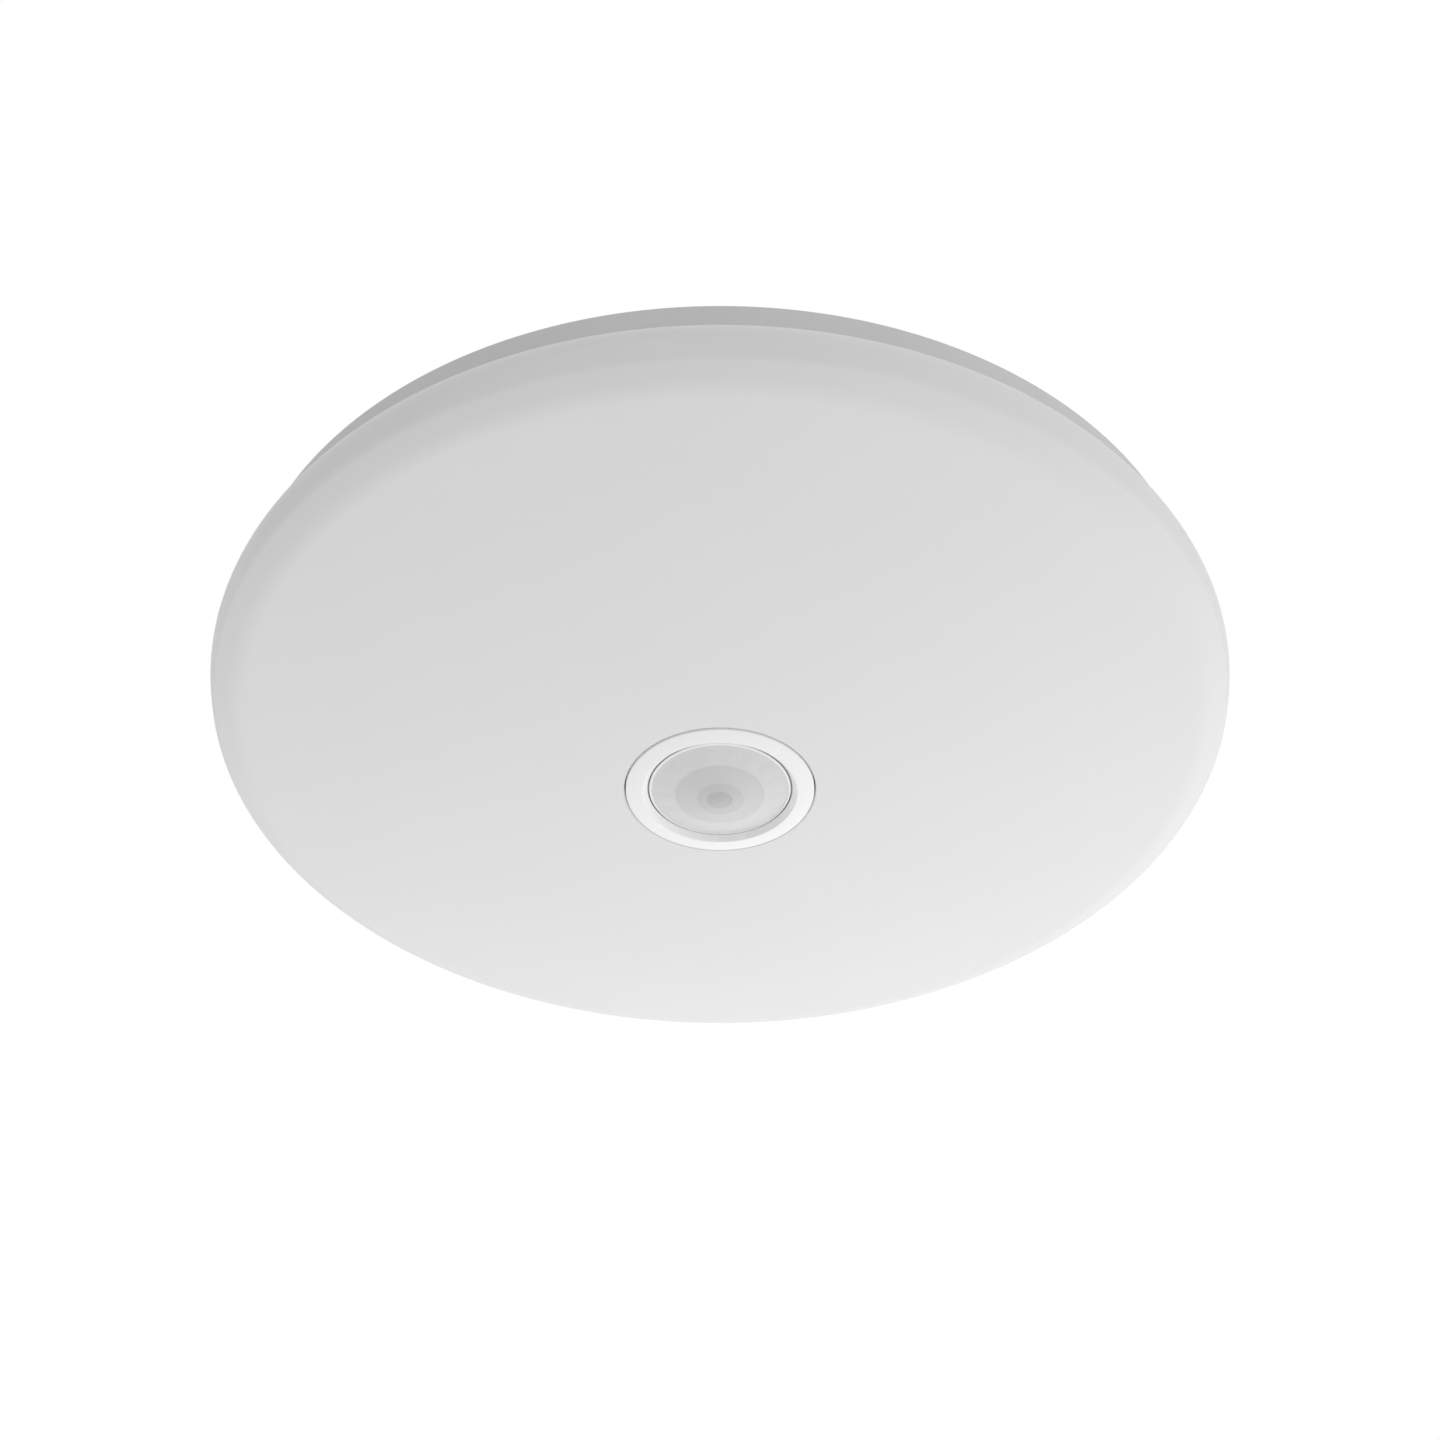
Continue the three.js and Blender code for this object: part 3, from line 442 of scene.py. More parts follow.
def lens_material(name, tone):
    """Milky polythene with fine ring grooves, in a given tone that is painted shade."""
    finish = Finish(name, (tone, tone, tone), 0.4).mottled(12, 0.01)
    finish.rough(3, 0.36, 0.46)
    flat = finish.nodes.new("ShaderNodeVectorMath")
    flat.operation = "MULTIPLY"
    flat.inputs[1].default_value = (1, 1, 0)
    finish.links.new(finish.place, flat.inputs[0])
    length = finish.nodes.new("ShaderNodeVectorMath")
    length.operation = "LENGTH"
    finish.links.new(flat.outputs["Vector"], length.inputs[0])
    grooves = finish.nodes.new("ShaderNodeMath")
    grooves.operation = "PINGPONG"
    grooves.inputs[1].default_value = 0.2 * MM
    finish.links.new(length.outputs["Value"], grooves.inputs[0])
    height = finish.spread(grooves.outputs["Value"], 0.0, 1.0, 0.0, 0.2 * MM)
    finish.bumped(height, 0.015, 0.5)
    finish.set(Subsurface_Weight=0.15, Subsurface_Scale=0.002)
    return finish.material


WHITE = moulded("white_case", (0.655, 0.655, 0.655), 0.46)
BEZEL = moulded("bezel_white", (0.94, 0.94, 0.94), 0.36, grain=0.6, depth=0.006, mottle=0.006)
CASE = moulded("works_case", (0.72, 0.72, 0.71), 0.5)
OPAL = opal_material()
RUBBER = moulded("rubber", (0.3, 0.3, 0.3), 0.75, grain=0.5, depth=0.03)
GREY = moulded("terminal_grey", (0.34, 0.35, 0.36), 0.42)
ORANGE = moulded("button_orange", (0.72, 0.26, 0.04), 0.36, grain=0.5, depth=0.01)
BLACK = moulded("black_plastic", (0.02, 0.02, 0.022), 0.45)
CREAM = moulded("connector_cream", (0.72, 0.68, 0.58), 0.42)
DIAL = moulded("dial_white", (0.8, 0.79, 0.76), 0.38, grain=0.4, depth=0.01)
TRIMMER = moulded("trimmer_blue", (0.05, 0.16, 0.42), 0.36)
CELL = moulded("cell_red", (0.42, 0.08, 0.04), 0.3)
MASK_WHITE = moulded("mask_white", (0.82, 0.82, 0.8), 0.34, grain=2.5, depth=0.008)
MASK_GREEN = moulded("mask_green", (0.02, 0.14, 0.06), 0.32, grain=2.0, depth=0.01)
MASK_TRACK = moulded("mask_over_copper", (0.74, 0.75, 0.73), 0.3, grain=2.5, depth=0.006)
CERAMIC = moulded("led_ceramic", (0.84, 0.83, 0.8), 0.4, grain=0.3, depth=0.004)
PHOSPHOR = moulded("phosphor", (0.86, 0.62, 0.08), 0.3, grain=0.3, depth=0.02)
STEEL = metal("zinc_steel", (0.62, 0.64, 0.66), 0.3)
SPRING = metal("spring_steel", (0.55, 0.56, 0.58), 0.24, stretch=(1, 1, 8))
TIN = metal("tin", (0.72, 0.72, 0.7), 0.22)
CAN = metal("can", (0.6, 0.57, 0.48), 0.2)
COPPER = moulded("winding_tape", (0.5, 0.24, 0.05), 0.4)
GLASS_DARK = moulded("detector_filter", (0.03, 0.02, 0.02), 0.12, depth=0.002)
RIBBON = insulation("ribbon_grey", (0.3, 0.31, 0.33))
LEAD_COLOURS = {
    "lead_brown": insulation("lead_brown", (0.12, 0.05, 0.02)),
    "lead_blue": insulation("lead_blue", (0.03, 0.12, 0.42)),
    "lead_black": insulation("lead_black", (0.015, 0.015, 0.015)),
    "lead_red": insulation("lead_red", (0.5, 0.03, 0.02)),
    "lead_white": insulation("lead_white", (0.75, 0.75, 0.72)),
}

# ---------------------------------------------------------------- diffuser

DIFFUSER_HIGH = span("diffuser")[1]
OUTER_R = DIFFUSER_HIGH.x
RIM_Z = DIFFUSER_HIGH.z
WIDEST_Z = RIM_Z - 7
SHOULDER_ARC = 11.0
WALL_DRAFT = math.radians(10)
WALL_ROUND = 4.0
CHAMFER_DROP = 5.6
CHAMFER = math.tan(math.radians(36))
CHAMFER_ROUND = 17.0
DOME_JOIN_R = 138.4
DOME_DROP = 12.4
DOME_SLOPE = 0.286
WALL = 2.0
HOLE_R = 27.75
COLLAR_WALL = 1.8
COLLAR_TOP = -45.0
RIM_INNER_R = 145.2

JOIN_Z = WIDEST_Z - DOME_DROP
DOME_CURVE = DOME_SLOPE / (2 * DOME_JOIN_R)
CHAMFER_RUN = (DOME_DROP - DOME_SLOPE * (OUTER_R - DOME_JOIN_R) - CHAMFER_DROP) / (CHAMFER - DOME_SLOPE)
WALL_LEAN = math.tan(WALL_DRAFT)
WALL_TOP_DROP = SHOULDER_ARC * math.sin(WALL_DRAFT)
WALL_TOP_IN = SHOULDER_ARC * (1 - math.cos(WALL_DRAFT))
WALL_END_IN = (WALL_TOP_IN + WALL_LEAN * (CHAMFER_DROP - WALL_TOP_DROP)) / (1 - WALL_LEAN * CHAMFER)


def on_chamfer(run):
    return OUTER_R - run, WIDEST_Z - CHAMFER_DROP - CHAMFER * run


def dome_z(r):
    return JOIN_Z - DOME_CURVE * (DOME_JOIN_R**2 - r**2)


def offset(line, distance):
    """The curve at a fixed distance to the right of an open (r, z) line."""
    moved = []
    for i, (r, z) in enumerate(line):
        before, after = line[max(i - 1, 0)], line[min(i + 1, len(line) - 1)]
        along = Vector((after[0] - before[0], after[1] - before[1])).normalized()
        moved.append((r + along.y * distance, z - along.x * distance))
    return moved


def diffuser_shape(steps):
    rise = math.asin((RIM_Z - WIDEST_Z) / SHOULDER_ARC)
    line = []
    shoulder_steps = 12
    for i in range(shoulder_steps):
        angle = rise - (rise + WALL_DRAFT) * i / shoulder_steps
        r = OUTER_R - SHOULDER_ARC * (1 - math.cos(angle))
        line.append((r, WIDEST_Z + SHOULDER_ARC * math.sin(angle)))
    line += filleted([
        (OUTER_R - WALL_TOP_IN, WIDEST_Z - WALL_TOP_DROP, 0),
        (*on_chamfer(WALL_END_IN), WALL_ROUND),
        (*on_chamfer(CHAMFER_RUN), CHAMFER_ROUND),
        (DOME_JOIN_R, JOIN_Z, 0),
    ], 12)
    dome_steps = 30
    for i in range(1, dome_steps):
        r = DOME_JOIN_R + (HOLE_R + 0.6 - DOME_JOIN_R) * i / dome_steps
        line.append((r, dome_z(r)))
    inside = [p for p in offset(line, WALL) if p[1] < RIM_Z - 1.6]
    rim = [(line[0][0] - 0.35, RIM_Z), (RIM_INNER_R + 0.3, RIM_Z), (RIM_INNER_R, RIM_Z - 0.3)]
    line[0] = (line[0][0] + 0.1, RIM_Z - 0.25)
    collar_outer = HOLE_R + COLLAR_WALL
    inside = [p for p in inside if p[0] > collar_outer + 1.2]
    hole = [
        (HOLE_R + 0.25, dome_z(HOLE_R) + 0.06),
        (HOLE_R, dome_z(HOLE_R) + 0.35),
        (HOLE_R, COLLAR_TOP - 0.3),
        (HOLE_R + 0.3, COLLAR_TOP),
        (collar_outer - 0.3, COLLAR_TOP),
        (collar_outer, COLLAR_TOP - 0.3),
        (collar_outer, dome_z(collar_outer) + WALL + 0.8),
        (collar_outer + 0.8, dome_z(collar_outer) + WALL + 0.1),
    ]
    return revolved([*line, *hole, *reversed(inside), *reversed(rim)], steps)


show("diffuser_shell", diffuser_shape(288), OPAL, "diffuser", ["diffuser"], sharp=50, weighted=False)

# ---------------------------------------------------------------- bezel and lens

BEZEL_LOW, BEZEL_HIGH = span("bezel_ring")
LENS_HIGH = span("fresnel_lens")[1]
BEZEL_R = BEZEL_HIGH.x
BEZEL_FACE = BEZEL_LOW.z
BEZEL_FALL = 0.85
BEZEL_BORE_R = 21.05
BEZEL_INNER_R = 22.5
RECESS_DEPTH = 1.6
BEZEL_SKIRT_R = 26.3
LENS_R = 20.6
LENS_RISE = 4.7
LENS_WALL = 1.0
LENS_RIM_Z = BEZEL_FACE + RECESS_DEPTH
LENS_APEX_Z = LENS_RIM_Z - LENS_RISE
BEZEL_BACK = BEZEL_FACE + 2.05


def bezel_shape(steps):
    outline = filleted([
        (BEZEL_BORE_R, BEZEL_BACK, 0.12),
        (BEZEL_BORE_R, LENS_RIM_Z, 0.15),
        (BEZEL_INNER_R, BEZEL_FACE, 0.25),
        (BEZEL_R, BEZEL_FACE + BEZEL_FALL, 0.35),
        (BEZEL_R, BEZEL_HIGH.z, 0.3),
        (BEZEL_SKIRT_R, BEZEL_HIGH.z, 0.3),
        (BEZEL_SKIRT_R, BEZEL_BACK, 0.3),
    ], 6)
    return revolved(outline, steps)


# The lens has a plain middle, a plain ring, a ring with a lobed edge, an outer ring of segments
# and a bead. Edges are shares of the lens radius.
ZONE_EDGES = (0.181, 0.327, 0.63, 0.966)
ZONE_STEPS = (4, 5, 9, 12, 4)
LOBES = 16
LOBE_DEPTH = 0.02
ZONE_RISE = 0.05
SEGMENT_BULGE = 0.14
BEAD_HEIGHT = 0.25
LENS_CURVE = 1.3
# Zone tones from the middle outwards: painted shade, darker towards the middle of the lens.
LENS_SHADE_TONES = (0.515, 0.588, 0.64, 0.712)
LOBED, SEGMENTED, BEAD = 2, 3, 4
LOBE_MIDDLE = 0.64
ZONE_STEP_WIDTH = 0.004
LENS_CREASE = 5


def lens_zones(steps):
    """The lens's outer face as one strip of rings for each zone, then the rest of the lens."""
    edges = (0.0, *ZONE_EDGES, 1.0)
    turns = [2 * math.pi * i / steps for i in range(steps)]
    grid, zones = [], []
    for zone, count in enumerate(ZONE_STEPS):
        for k in range(count + 1):
            t = k / count
            ring = []
            for angle in turns:
                lobe = 1 + LOBE_DEPTH * (abs(math.sin(LOBES * angle / 2)) - LOBE_MIDDLE)
                low = edges[zone] * (lobe if zone == SEGMENTED else 1)
                high = edges[zone + 1] * (lobe if zone == LOBED else 1)
                share = low + (high - low) * t
                if k == 0 and zone:
                    share += ZONE_STEP_WIDTH
                r = LENS_R * share
                z = LENS_APEX_Z + LENS_RISE * share**LENS_CURVE + ZONE_RISE * (zone % 2)
                if zone == SEGMENTED:
                    z -= SEGMENT_BULGE * math.sin(math.pi * t) * abs(math.sin(LOBES * angle / 2))
                if zone == BEAD:
                    z += ZONE_RISE - BEAD_HEIGHT * min(count * t, count * (1 - t), 1)
                ring.append(Vector((r * math.cos(angle), r * math.sin(angle), z)))
            grid.append(ring)
            zones.append(zone)
    lip = LENS_HIGH.z - LENS_WALL
    inner_r = LENS_R - LENS_WALL
    back = [(LENS_R, lip), (LENS_HIGH.x, lip), (LENS_HIGH.x, LENS_HIGH.z), (inner_r, LENS_HIGH.z)]
    back_steps = 9
    for k in range(back_steps + 1):
        share = 1 - k / back_steps
        back.append((inner_r * share, LENS_APEX_Z + LENS_WALL + LENS_RISE * share**LENS_CURVE))
    for r, z in back:
        grid.append([Vector((r * math.cos(a), r * math.sin(a), z)) for a in turns])
        zones.append(0)
    return grid, zones


def show_lens(steps):
    grid, zones = lens_zones(steps)
    points = [p for ring in grid for p in ring]
    faces, slots = [], []
    for k in range(len(grid) - 1):
        for i in range(steps):
            j = (i + 1) % steps
            faces.append((k * steps + i, k * steps + j, (k + 1) * steps + j, (k + 1) * steps + i))
            slots.append(zones[k + 1])
    lens = plain_object("lens", (points, faces), MM, slots)
    mesh = lens.data
    mesh.polygons.foreach_set("use_smooth", [True] * len(mesh.polygons))
    mesh.set_sharp_from_angle(angle=math.radians(LENS_CREASE))
    # Each zone gets its own copy of the lens material, in that zone's tone of painted shade.
    for zone, tone in enumerate(LENS_SHADE_TONES):
        mesh.materials.append(lens_material(f"lens_shaded_zone_{zone + 1}", tone))
    # The bead takes the bezel's white: partly the thick rim's own tone, partly a painted highlight along
    # the lens rim.
    mesh.materials.append(BEZEL)
    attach(lens, "base")
    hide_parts("fresnel_lens")


show("bezel", bezel_shape(192), BEZEL, "base", ["bezel_ring"], sharp=60, weighted=False)
show_lens(192)

# ---------------------------------------------------------------- base plate

BASE_LOW, BASE_HIGH = span("base_plate")
FLANGE_R = BASE_HIGH.x
PAN_DEPTH = BASE_LOW.z
BACK_R = 142.7
PAN_WALL_R = 143.6
PAN_WALL_IN = 141.4
FLANGE_TOP = -11.3
FLANGE_FACE = -12.7
POCKET_Z = -2.6
FLOOR_Z = -5.0
LAND_R = 44.0
RIM_LAND_IN = 137.0
KEYHOLE_X = 76.0
ENTRY = (-44.0, -60.0)
ENTRY_R = 11.0
CLIP_SCREW_R = 131.0
CLIP_ANGLES = [math.radians(a) for a in (30, 150, 270)]
CLIP_SCREWS = [around(CLIP_SCREW_R, a) for a in CLIP_ANGLES]
POD_SCREWS = [around(35.0, math.radians(a)) for a in (60, 180, 300)]
LED_RING_R = 113.0
LED_SCREW_ANGLES = [math.radians(a) for a in range(0, 360, 60)]
LED_SCREWS = [around(LED_RING_R, a) for a in LED_SCREW_ANGLES]
TRAY_SCREWS = ((-52.0, 61.0), (52.0, 61.0))
PILOT_R = 1.8
GAP = 0.3
RIB_COUNT = 12
RIB_LOW = -5.8
INNER_RIB_R = 50
OUTER_RIB_R = 92
RIB_WALL = 1.2
PEG_CIRCLE_R = 72
PEG_R = 2.6
LUG_X = 16.4
RIB_ANGLES = [(i + 0.5) / RIB_COUNT * 2 * math.pi for i in range(RIB_COUNT)]


def pilots(places, z0, z1):
    """Holes for screws."""
    return [drum(x, y, PILOT_R, z0, z1, 24) for x, y in places]


def keyhole_outline(grow):
    """A round head with a slot towards +X, as an outline that can be grown."""
    head, slot, length = 4.6 + grow, 2.4 + grow, 9.0
    meet = math.degrees(math.asin(slot / head))
    return arc(0, 0, head, meet, 360 - meet, 32) + arc(length, 0, slot, -90, 90, 12)


def base_shape():
    pan = revolved(filleted([
        (0, 0, 0),
        (LAND_R, 0, 0.5),
        (LAND_R, POCKET_Z, 0.6),
        (RIM_LAND_IN, POCKET_Z, 0.6),
        (RIM_LAND_IN, 0, 0.5),
        (BACK_R, 0, 0.9),
        (PAN_WALL_R, FLANGE_TOP, 0.5),
        (FLANGE_R, FLANGE_TOP, 0.5),
        (FLANGE_R, FLANGE_FACE, 0.5),
        (PAN_WALL_R, FLANGE_FACE, 0.3),
        (PAN_WALL_R, PAN_DEPTH, 0.7),
        (PAN_WALL_IN, PAN_DEPTH, 0.7),
        (PAN_WALL_IN - 0.4, FLOOR_Z, 1.8),
        (0, FLOOR_Z, 0),
    ], 5), 256)
    bedded = POCKET_Z - 1
    rib = brick(LAND_R - 1, RIM_LAND_IN + 1, -0.9, 0.9, bedded, -0.15, 0.25)
    ribs = [spun(rib, a) for a in RIB_ANGLES]
    hoops = merged(tube(128, 134, bedded, 0), tube(86, 89, bedded, -0.1))
    pads = merged(
        *(drum(side * KEYHOLE_X, 0, 13, bedded, 0, 72, 0.4) for side in (-1, 1)),
        drum(*ENTRY, 16, bedded, 0, 72, 0.4),
        *(drum(x, y, 5, bedded, 0, 36, 0.3) for x, y in TRAY_SCREWS),
    )
    raised = [drum(x, y, 4, -9, FLOOR_Z + 1, 36, 0.4) for x, y in LED_SCREWS]
    for x in (-LUG_X, LUG_X):
        raised.append(brick(x - 1, x + 1, -76, -68, -13, FLOOR_Z + 1, 0.3))
    raised.append(tube(INNER_RIB_R, INNER_RIB_R + RIB_WALL, RIB_LOW, FLOOR_Z + 1, 144, 0.2))
    raised.append(tube(OUTER_RIB_R, OUTER_RIB_R + RIB_WALL, RIB_LOW, FLOOR_Z + 1, 200, 0.2))
    pegs = [drum(*around(PEG_CIRCLE_R, a), PEG_R, -5.25, FLOOR_Z + 1, 32, 0.1) for a in RIB_ANGLES]
    holes = pilots(LED_SCREWS, -10, POCKET_Z - 0.6)
    holes += pilots([*POD_SCREWS, *CLIP_SCREWS, *TRAY_SCREWS], -6, -1)
    for a in CLIP_ANGLES:
        holes.append(spun(brick(138, OUTER_R, -6.8, 6.8, PAN_DEPTH - 1, -12.9, 0.4), a))
    flares = []
    for side in (-1, 1):
        holes.append(shifted(extruded(keyhole_outline(0), FLOOR_Z - 1, 1, 0), side * KEYHOLE_X))
        flares.append(shifted(extruded(keyhole_outline(0.5), -0.5, 1, 0), side * KEYHOLE_X))
    holes.append(drum(*ENTRY, ENTRY_R, FLOOR_Z - 1, 1, 72))
    joins = [merged(*ribs), hoops, pads, merged(*raised), merged(*pegs)]
    return carved(pan, joins, [merged(*holes), merged(*flares)])


def grommet_shape():
    outer = ENTRY_R - GAP
    bore = 5.5
    outline = filleted([
        (bore, FLOOR_Z - 3.5, 0.4),
        (outer - 1.5, FLOOR_Z - 3.5, 0.6),
        (outer + 2.4, FLOOR_Z - 2, 0.4),
        (outer + 2.4, FLOOR_Z - GAP, 0.3),
        (outer, FLOOR_Z - GAP, 0.3),
        (outer, -0.4, 0.5),
        (outer - 1.6, -0.4, 0.4),
        (outer - 2.2, -2.2, 0.4),
        (bore + 0.6, -2.2, 0.4),
        (bore, -2.8, 0.2),
    ], 4)
    return shifted(revolved(outline, 72), *ENTRY)


show("base", base_shape(), WHITE, "base", ["base_plate"], sharp=35)
show("grommet", grommet_shape(), RUBBER, "base", ["cable_grommet"])

# ---------------------------------------------------------------- screws and clips

HEAD_R = 2.9
HEAD_HEIGHT = 2.2
SHANK_R = 1.5
PITCH = 0.9
WING = 1.9
WING_HALF = 0.38
RECESS_END = -0.9
TURN_BETWEEN_SCREWS = 0.7


def screw_shape(length):
    """A pan-head screw with a cross recess and a thread, its bearing face at z = 0 and its point up."""
    outline = [(0, -HEAD_HEIGHT)]
    crown_steps = 8
    for i in range(1, crown_steps + 1):
        a = math.pi / 2 * i / crown_steps
        outline.append((HEAD_R * math.sin(a), -HEAD_HEIGHT * (0.25 + 0.75 * math.cos(a))))
    outline += [(HEAD_R, -0.25), (HEAD_R - 0.25, 0), (SHANK_R - 0.25, 0)]
    turns = int((length - 1.2) / PITCH)
    for i in range(turns):
        z = 0.3 + i * PITCH
        outline += [(SHANK_R - 0.3, z), (SHANK_R, z + PITCH * 0.45), (SHANK_R, z + PITCH * 0.55)]
    outline += [(SHANK_R - 0.3, 0.3 + turns * PITCH), (0, length)]
    cross = [
        brick(-x, x, -y, y, -HEAD_HEIGHT - 1, RECESS_END, 0.1)
        for x, y in ((WING, WING_HALF), (WING_HALF, WING))
    ]
    return carved(revolved(outline, 40), cuts=cross)


def show_screws():
    lengths = {"driver_screw": 5.8, "led_screw": 7.2, "sensor_screw": 6.6, "clip_screw": 4.4}
    shapes = {kind: screw_shape(length) for kind, length in lengths.items()}
    screws = [node for node in frame["nodes"] if "_screw_" in node]
    for i, node in enumerate(sorted(screws)):
        low, high = span(node)
        turned = spun(shapes[node[:-2]], i * TURN_BETWEEN_SCREWS)
        place = ((low.x + high.x) / 2, (low.y + high.y) / 2, low.z + HEAD_HEIGHT)
        show(f"{node}_pan_head", shifted(turned, *place), STEEL, "base", [node], sharp=30)


def clip_shape():
    """A spring strip: foot, bend down past the wall, and a nose for the diffuser's rim."""
    foot = FLOOR_Z - GAP
    nose = 144.4
    bends = [
        (CLIP_SCREW_R - 3.5, 0, foot),
        (CLIP_SCREW_R + 3, 0, foot),
        (137.4, 0, foot),
        (138.8, 0, foot - 0.5),
        (139.4, 0, foot - 1.8),
        (139.8, 0, -12.9),
        (nose - 0.8, 0, -15.4),
        (nose, 0, -16.2),
        (nose - 0.8, 0, -17),
        (141, 0, -19.5),
    ]
    path = [(p.x, p.z) for p in smooth_path(bends, 5)]
    strip = extruded(path + offset(path, 0.6)[::-1], -6, 6, 0.12)
    upright = placed(strip, Matrix.Rotation(math.pi / 2, 4, "X"))
    window = brick(139, 142.6, -2.2, 2.2, -11.5, -8, 0.3)
    return carved(upright, cuts=[drum(CLIP_SCREW_R, 0, PILOT_R, foot - 2, foot + 1, 24), window])


show_screws()
for i, angle in enumerate(CLIP_ANGLES):
    show(f"spring_clip_{i + 1}", spun(clip_shape(), angle), SPRING, "base", [f"retaining_clip_{i + 1}"])

# ---------------------------------------------------------------- LED board

BOARD_TOP = -9.3
BOARD_FACE = -10.9
LED_PLACES = 36
PLACES_PER_SCREW = 6
LED_STEP = 2 * math.pi / LED_PLACES
LED_ANGLES = [2 * math.pi * i / LED_PLACES for i in range(LED_PLACES) if i % PLACES_PER_SCREW]
TRACK_GAP = 0.026
RESISTORS = 12
RESISTOR_ANGLES = [2 * math.pi * (i + 0.5) / RESISTORS for i in range(RESISTORS)]
RESISTOR_RING_R = LED_RING_R - 7


def led_board_shape():
    ring = tube(LED_RING_R - 11, LED_RING_R + 11, BOARD_FACE, BOARD_TOP, 256, 0.12)
    return carved(ring, cuts=[merged(*pilots(LED_SCREWS, BOARD_FACE - 1, BOARD_TOP + 1))])


def on_board(shape, radius, angle):
    return spun(shifted(shape, radius), angle)


def show_copies(name, part, radius, angles, material):
    show(name, merged(*(on_board(part, radius, a) for a in angles)), material, "base")


def sector(inner, outer, start, end, z0, z1):
    """A flat piece of a ring, between two angles in radians."""
    steps = max(2, round((end - start) * 24))
    turns = [start + (end - start) * i / steps for i in range(steps + 1)]
    outline = [around(outer, a) for a in turns] + [around(inner, a) for a in reversed(turns)]
    return extruded(outline, z0, z1, 0)


def led_tracks():
    """The copper under the mask: from LED to LED, and round the outside of each screw."""
    low, high = BOARD_FACE - 0.05, BOARD_FACE + 0.02
    tracks = []
    for a in LED_ANGLES:
        after = a + LED_STEP
        if round(after / (2 * math.pi) * LED_PLACES) % PLACES_PER_SCREW:
            start, end = a + TRACK_GAP, after - TRACK_GAP
            tracks.append(sector(LED_RING_R - 1.6, LED_RING_R + 1.6, start, end, low, high))
    reach = LED_STEP - TRACK_GAP
    for a in LED_SCREW_ANGLES:
        tracks.append(sector(LED_RING_R + 5.2, LED_RING_R + 7.2, a - reach, a + reach, low, high))
    return merged(*tracks)


def show_leds():
    face = BOARD_FACE
    body = carved(
        brick(-2.5, 2.5, -2.5, 2.5, face - 0.9, face - 0.02, 0.18),
        cuts=[drum(0, 0, 1.95, face - 1.5, face - 0.6, 32)],
    )
    chip = drum(0, 0, 1.94, face - 0.74, face - 0.4, 32, 0.05)
    pads = merged(*(
        brick(-1.7, 1.7, side * 2.75 - 0.45, side * 2.75 + 0.45, face - 0.09, face + 0.02, 0.03)
        for side in (-1, 1)
    ))
    mark = brick(1.3, 2.1, 1.3, 2.1, face - 0.93, face - 0.85, 0.02)
    for part_name, part, material in (
        ("led_packages", body, CERAMIC),
        ("led_phosphor", chip, PHOSPHOR),
        ("led_pads", pads, TIN),
        ("led_marks", mark, BLACK),
    ):
        show_copies(part_name, part, LED_RING_R, LED_ANGLES, material)
    show("led_tracks", led_tracks(), MASK_TRACK, "base")
    resistor = brick(-0.6, 0.6, -0.8, 0.8, face - 0.55, face, 0.06)
    ends = merged(*(
        brick(-0.62, 0.62, side * 1.05 - 0.3, side * 1.05 + 0.3, face - 0.57, face, 0.05)
        for side in (-1, 1)
    ))
    show_copies("led_resistors", resistor, RESISTOR_RING_R, RESISTOR_ANGLES, BLACK)
    show_copies("led_resistor_ends", ends, RESISTOR_RING_R, RESISTOR_ANGLES, TIN)


def connector_shape():
    face = BOARD_FACE - GAP
    body = brick(-4, 4, -5, 5, face - 4, face, 0.35)
    cuts = []
    for side in (-1, 1):
        cuts.append(brick(-5, -1, side * 2 - 1.2, side * 2 + 1.2, face - 3.2, face - 0.8, 0.2))
        cuts.append(brick(-1.2, 1.4, side * 2 - 0.9, side * 2 + 0.9, face - 5, face - 3.4, 0.15))
    return on_board(carved(body, cuts=cuts), LED_RING_R, math.pi / 4)


show("led_board_ring", led_board_shape(), MASK_WHITE, "base", ["led_board"])
show_leds()
show("led_plug_housing", connector_shape(), CREAM, "base", ["led_connector"])

# ---------------------------------------------------------------- terminals

TERMINAL_LOW, TERMINAL_HIGH = span("terminal_block")
POLES = (-9.0, 0.0, 9.0)
BUTTON_Y = -70.0
WIRE_Z = -11.0
LEAD_FUNNEL = [(0, -0.9), (1.6, -0.9), (2.4, 0.4), (0, 0.4)]
SUPPLY_FUNNEL = [(0, -0.4), (2.9, -0.4), (2.0, 1.0), (0, 1.0)]


def along_y(shape, x, y, z):
    return shifted(placed(shape, Matrix.Rotation(-math.pi / 2, 4, "X")), x, y, z)


def terminal_shape():
    low, high = TERMINAL_LOW, TERMINAL_HIGH
    body = brick(low.x, high.x, low.y, high.y, low.z, high.z, 0.6, 3)
    cuts = []
    funnels = []
    for x in POLES:
        cuts.append(brick(x - 2.8, x + 2.8, BUTTON_Y - 2.8, BUTTON_Y + 2.8, low.z - 1, -16, 0.25))
        cuts.append(along_y(drum(0, 0, 1.6, -9, 0.5, 32), x, high.y, WIRE_Z))
        funnels.append(along_y(revolved(LEAD_FUNNEL, 32), x, high.y, WIRE_Z))
        cuts.append(along_y(drum(0, 0, 2.0, -0.5, 9, 32), x, low.y, WIRE_Z))
        funnels.append(along_y(revolved(SUPPLY_FUNNEL, 32), x, low.y, WIRE_Z))
    for x in (-4.5, 4.5):
        cuts.append(brick(x - 0.3, x + 0.3, low.y - 1, high.y + 1, low.z - 1, low.z + 0.7, 0.1))
    for side in (-1, 1):
        cuts.append(brick(side * 15 - 1.2, side * 15 + 1.2, -77, -67, -9.2, -7.4, 0.2))
    return carved(body, cuts=[merged(*cuts), merged(*funnels)])


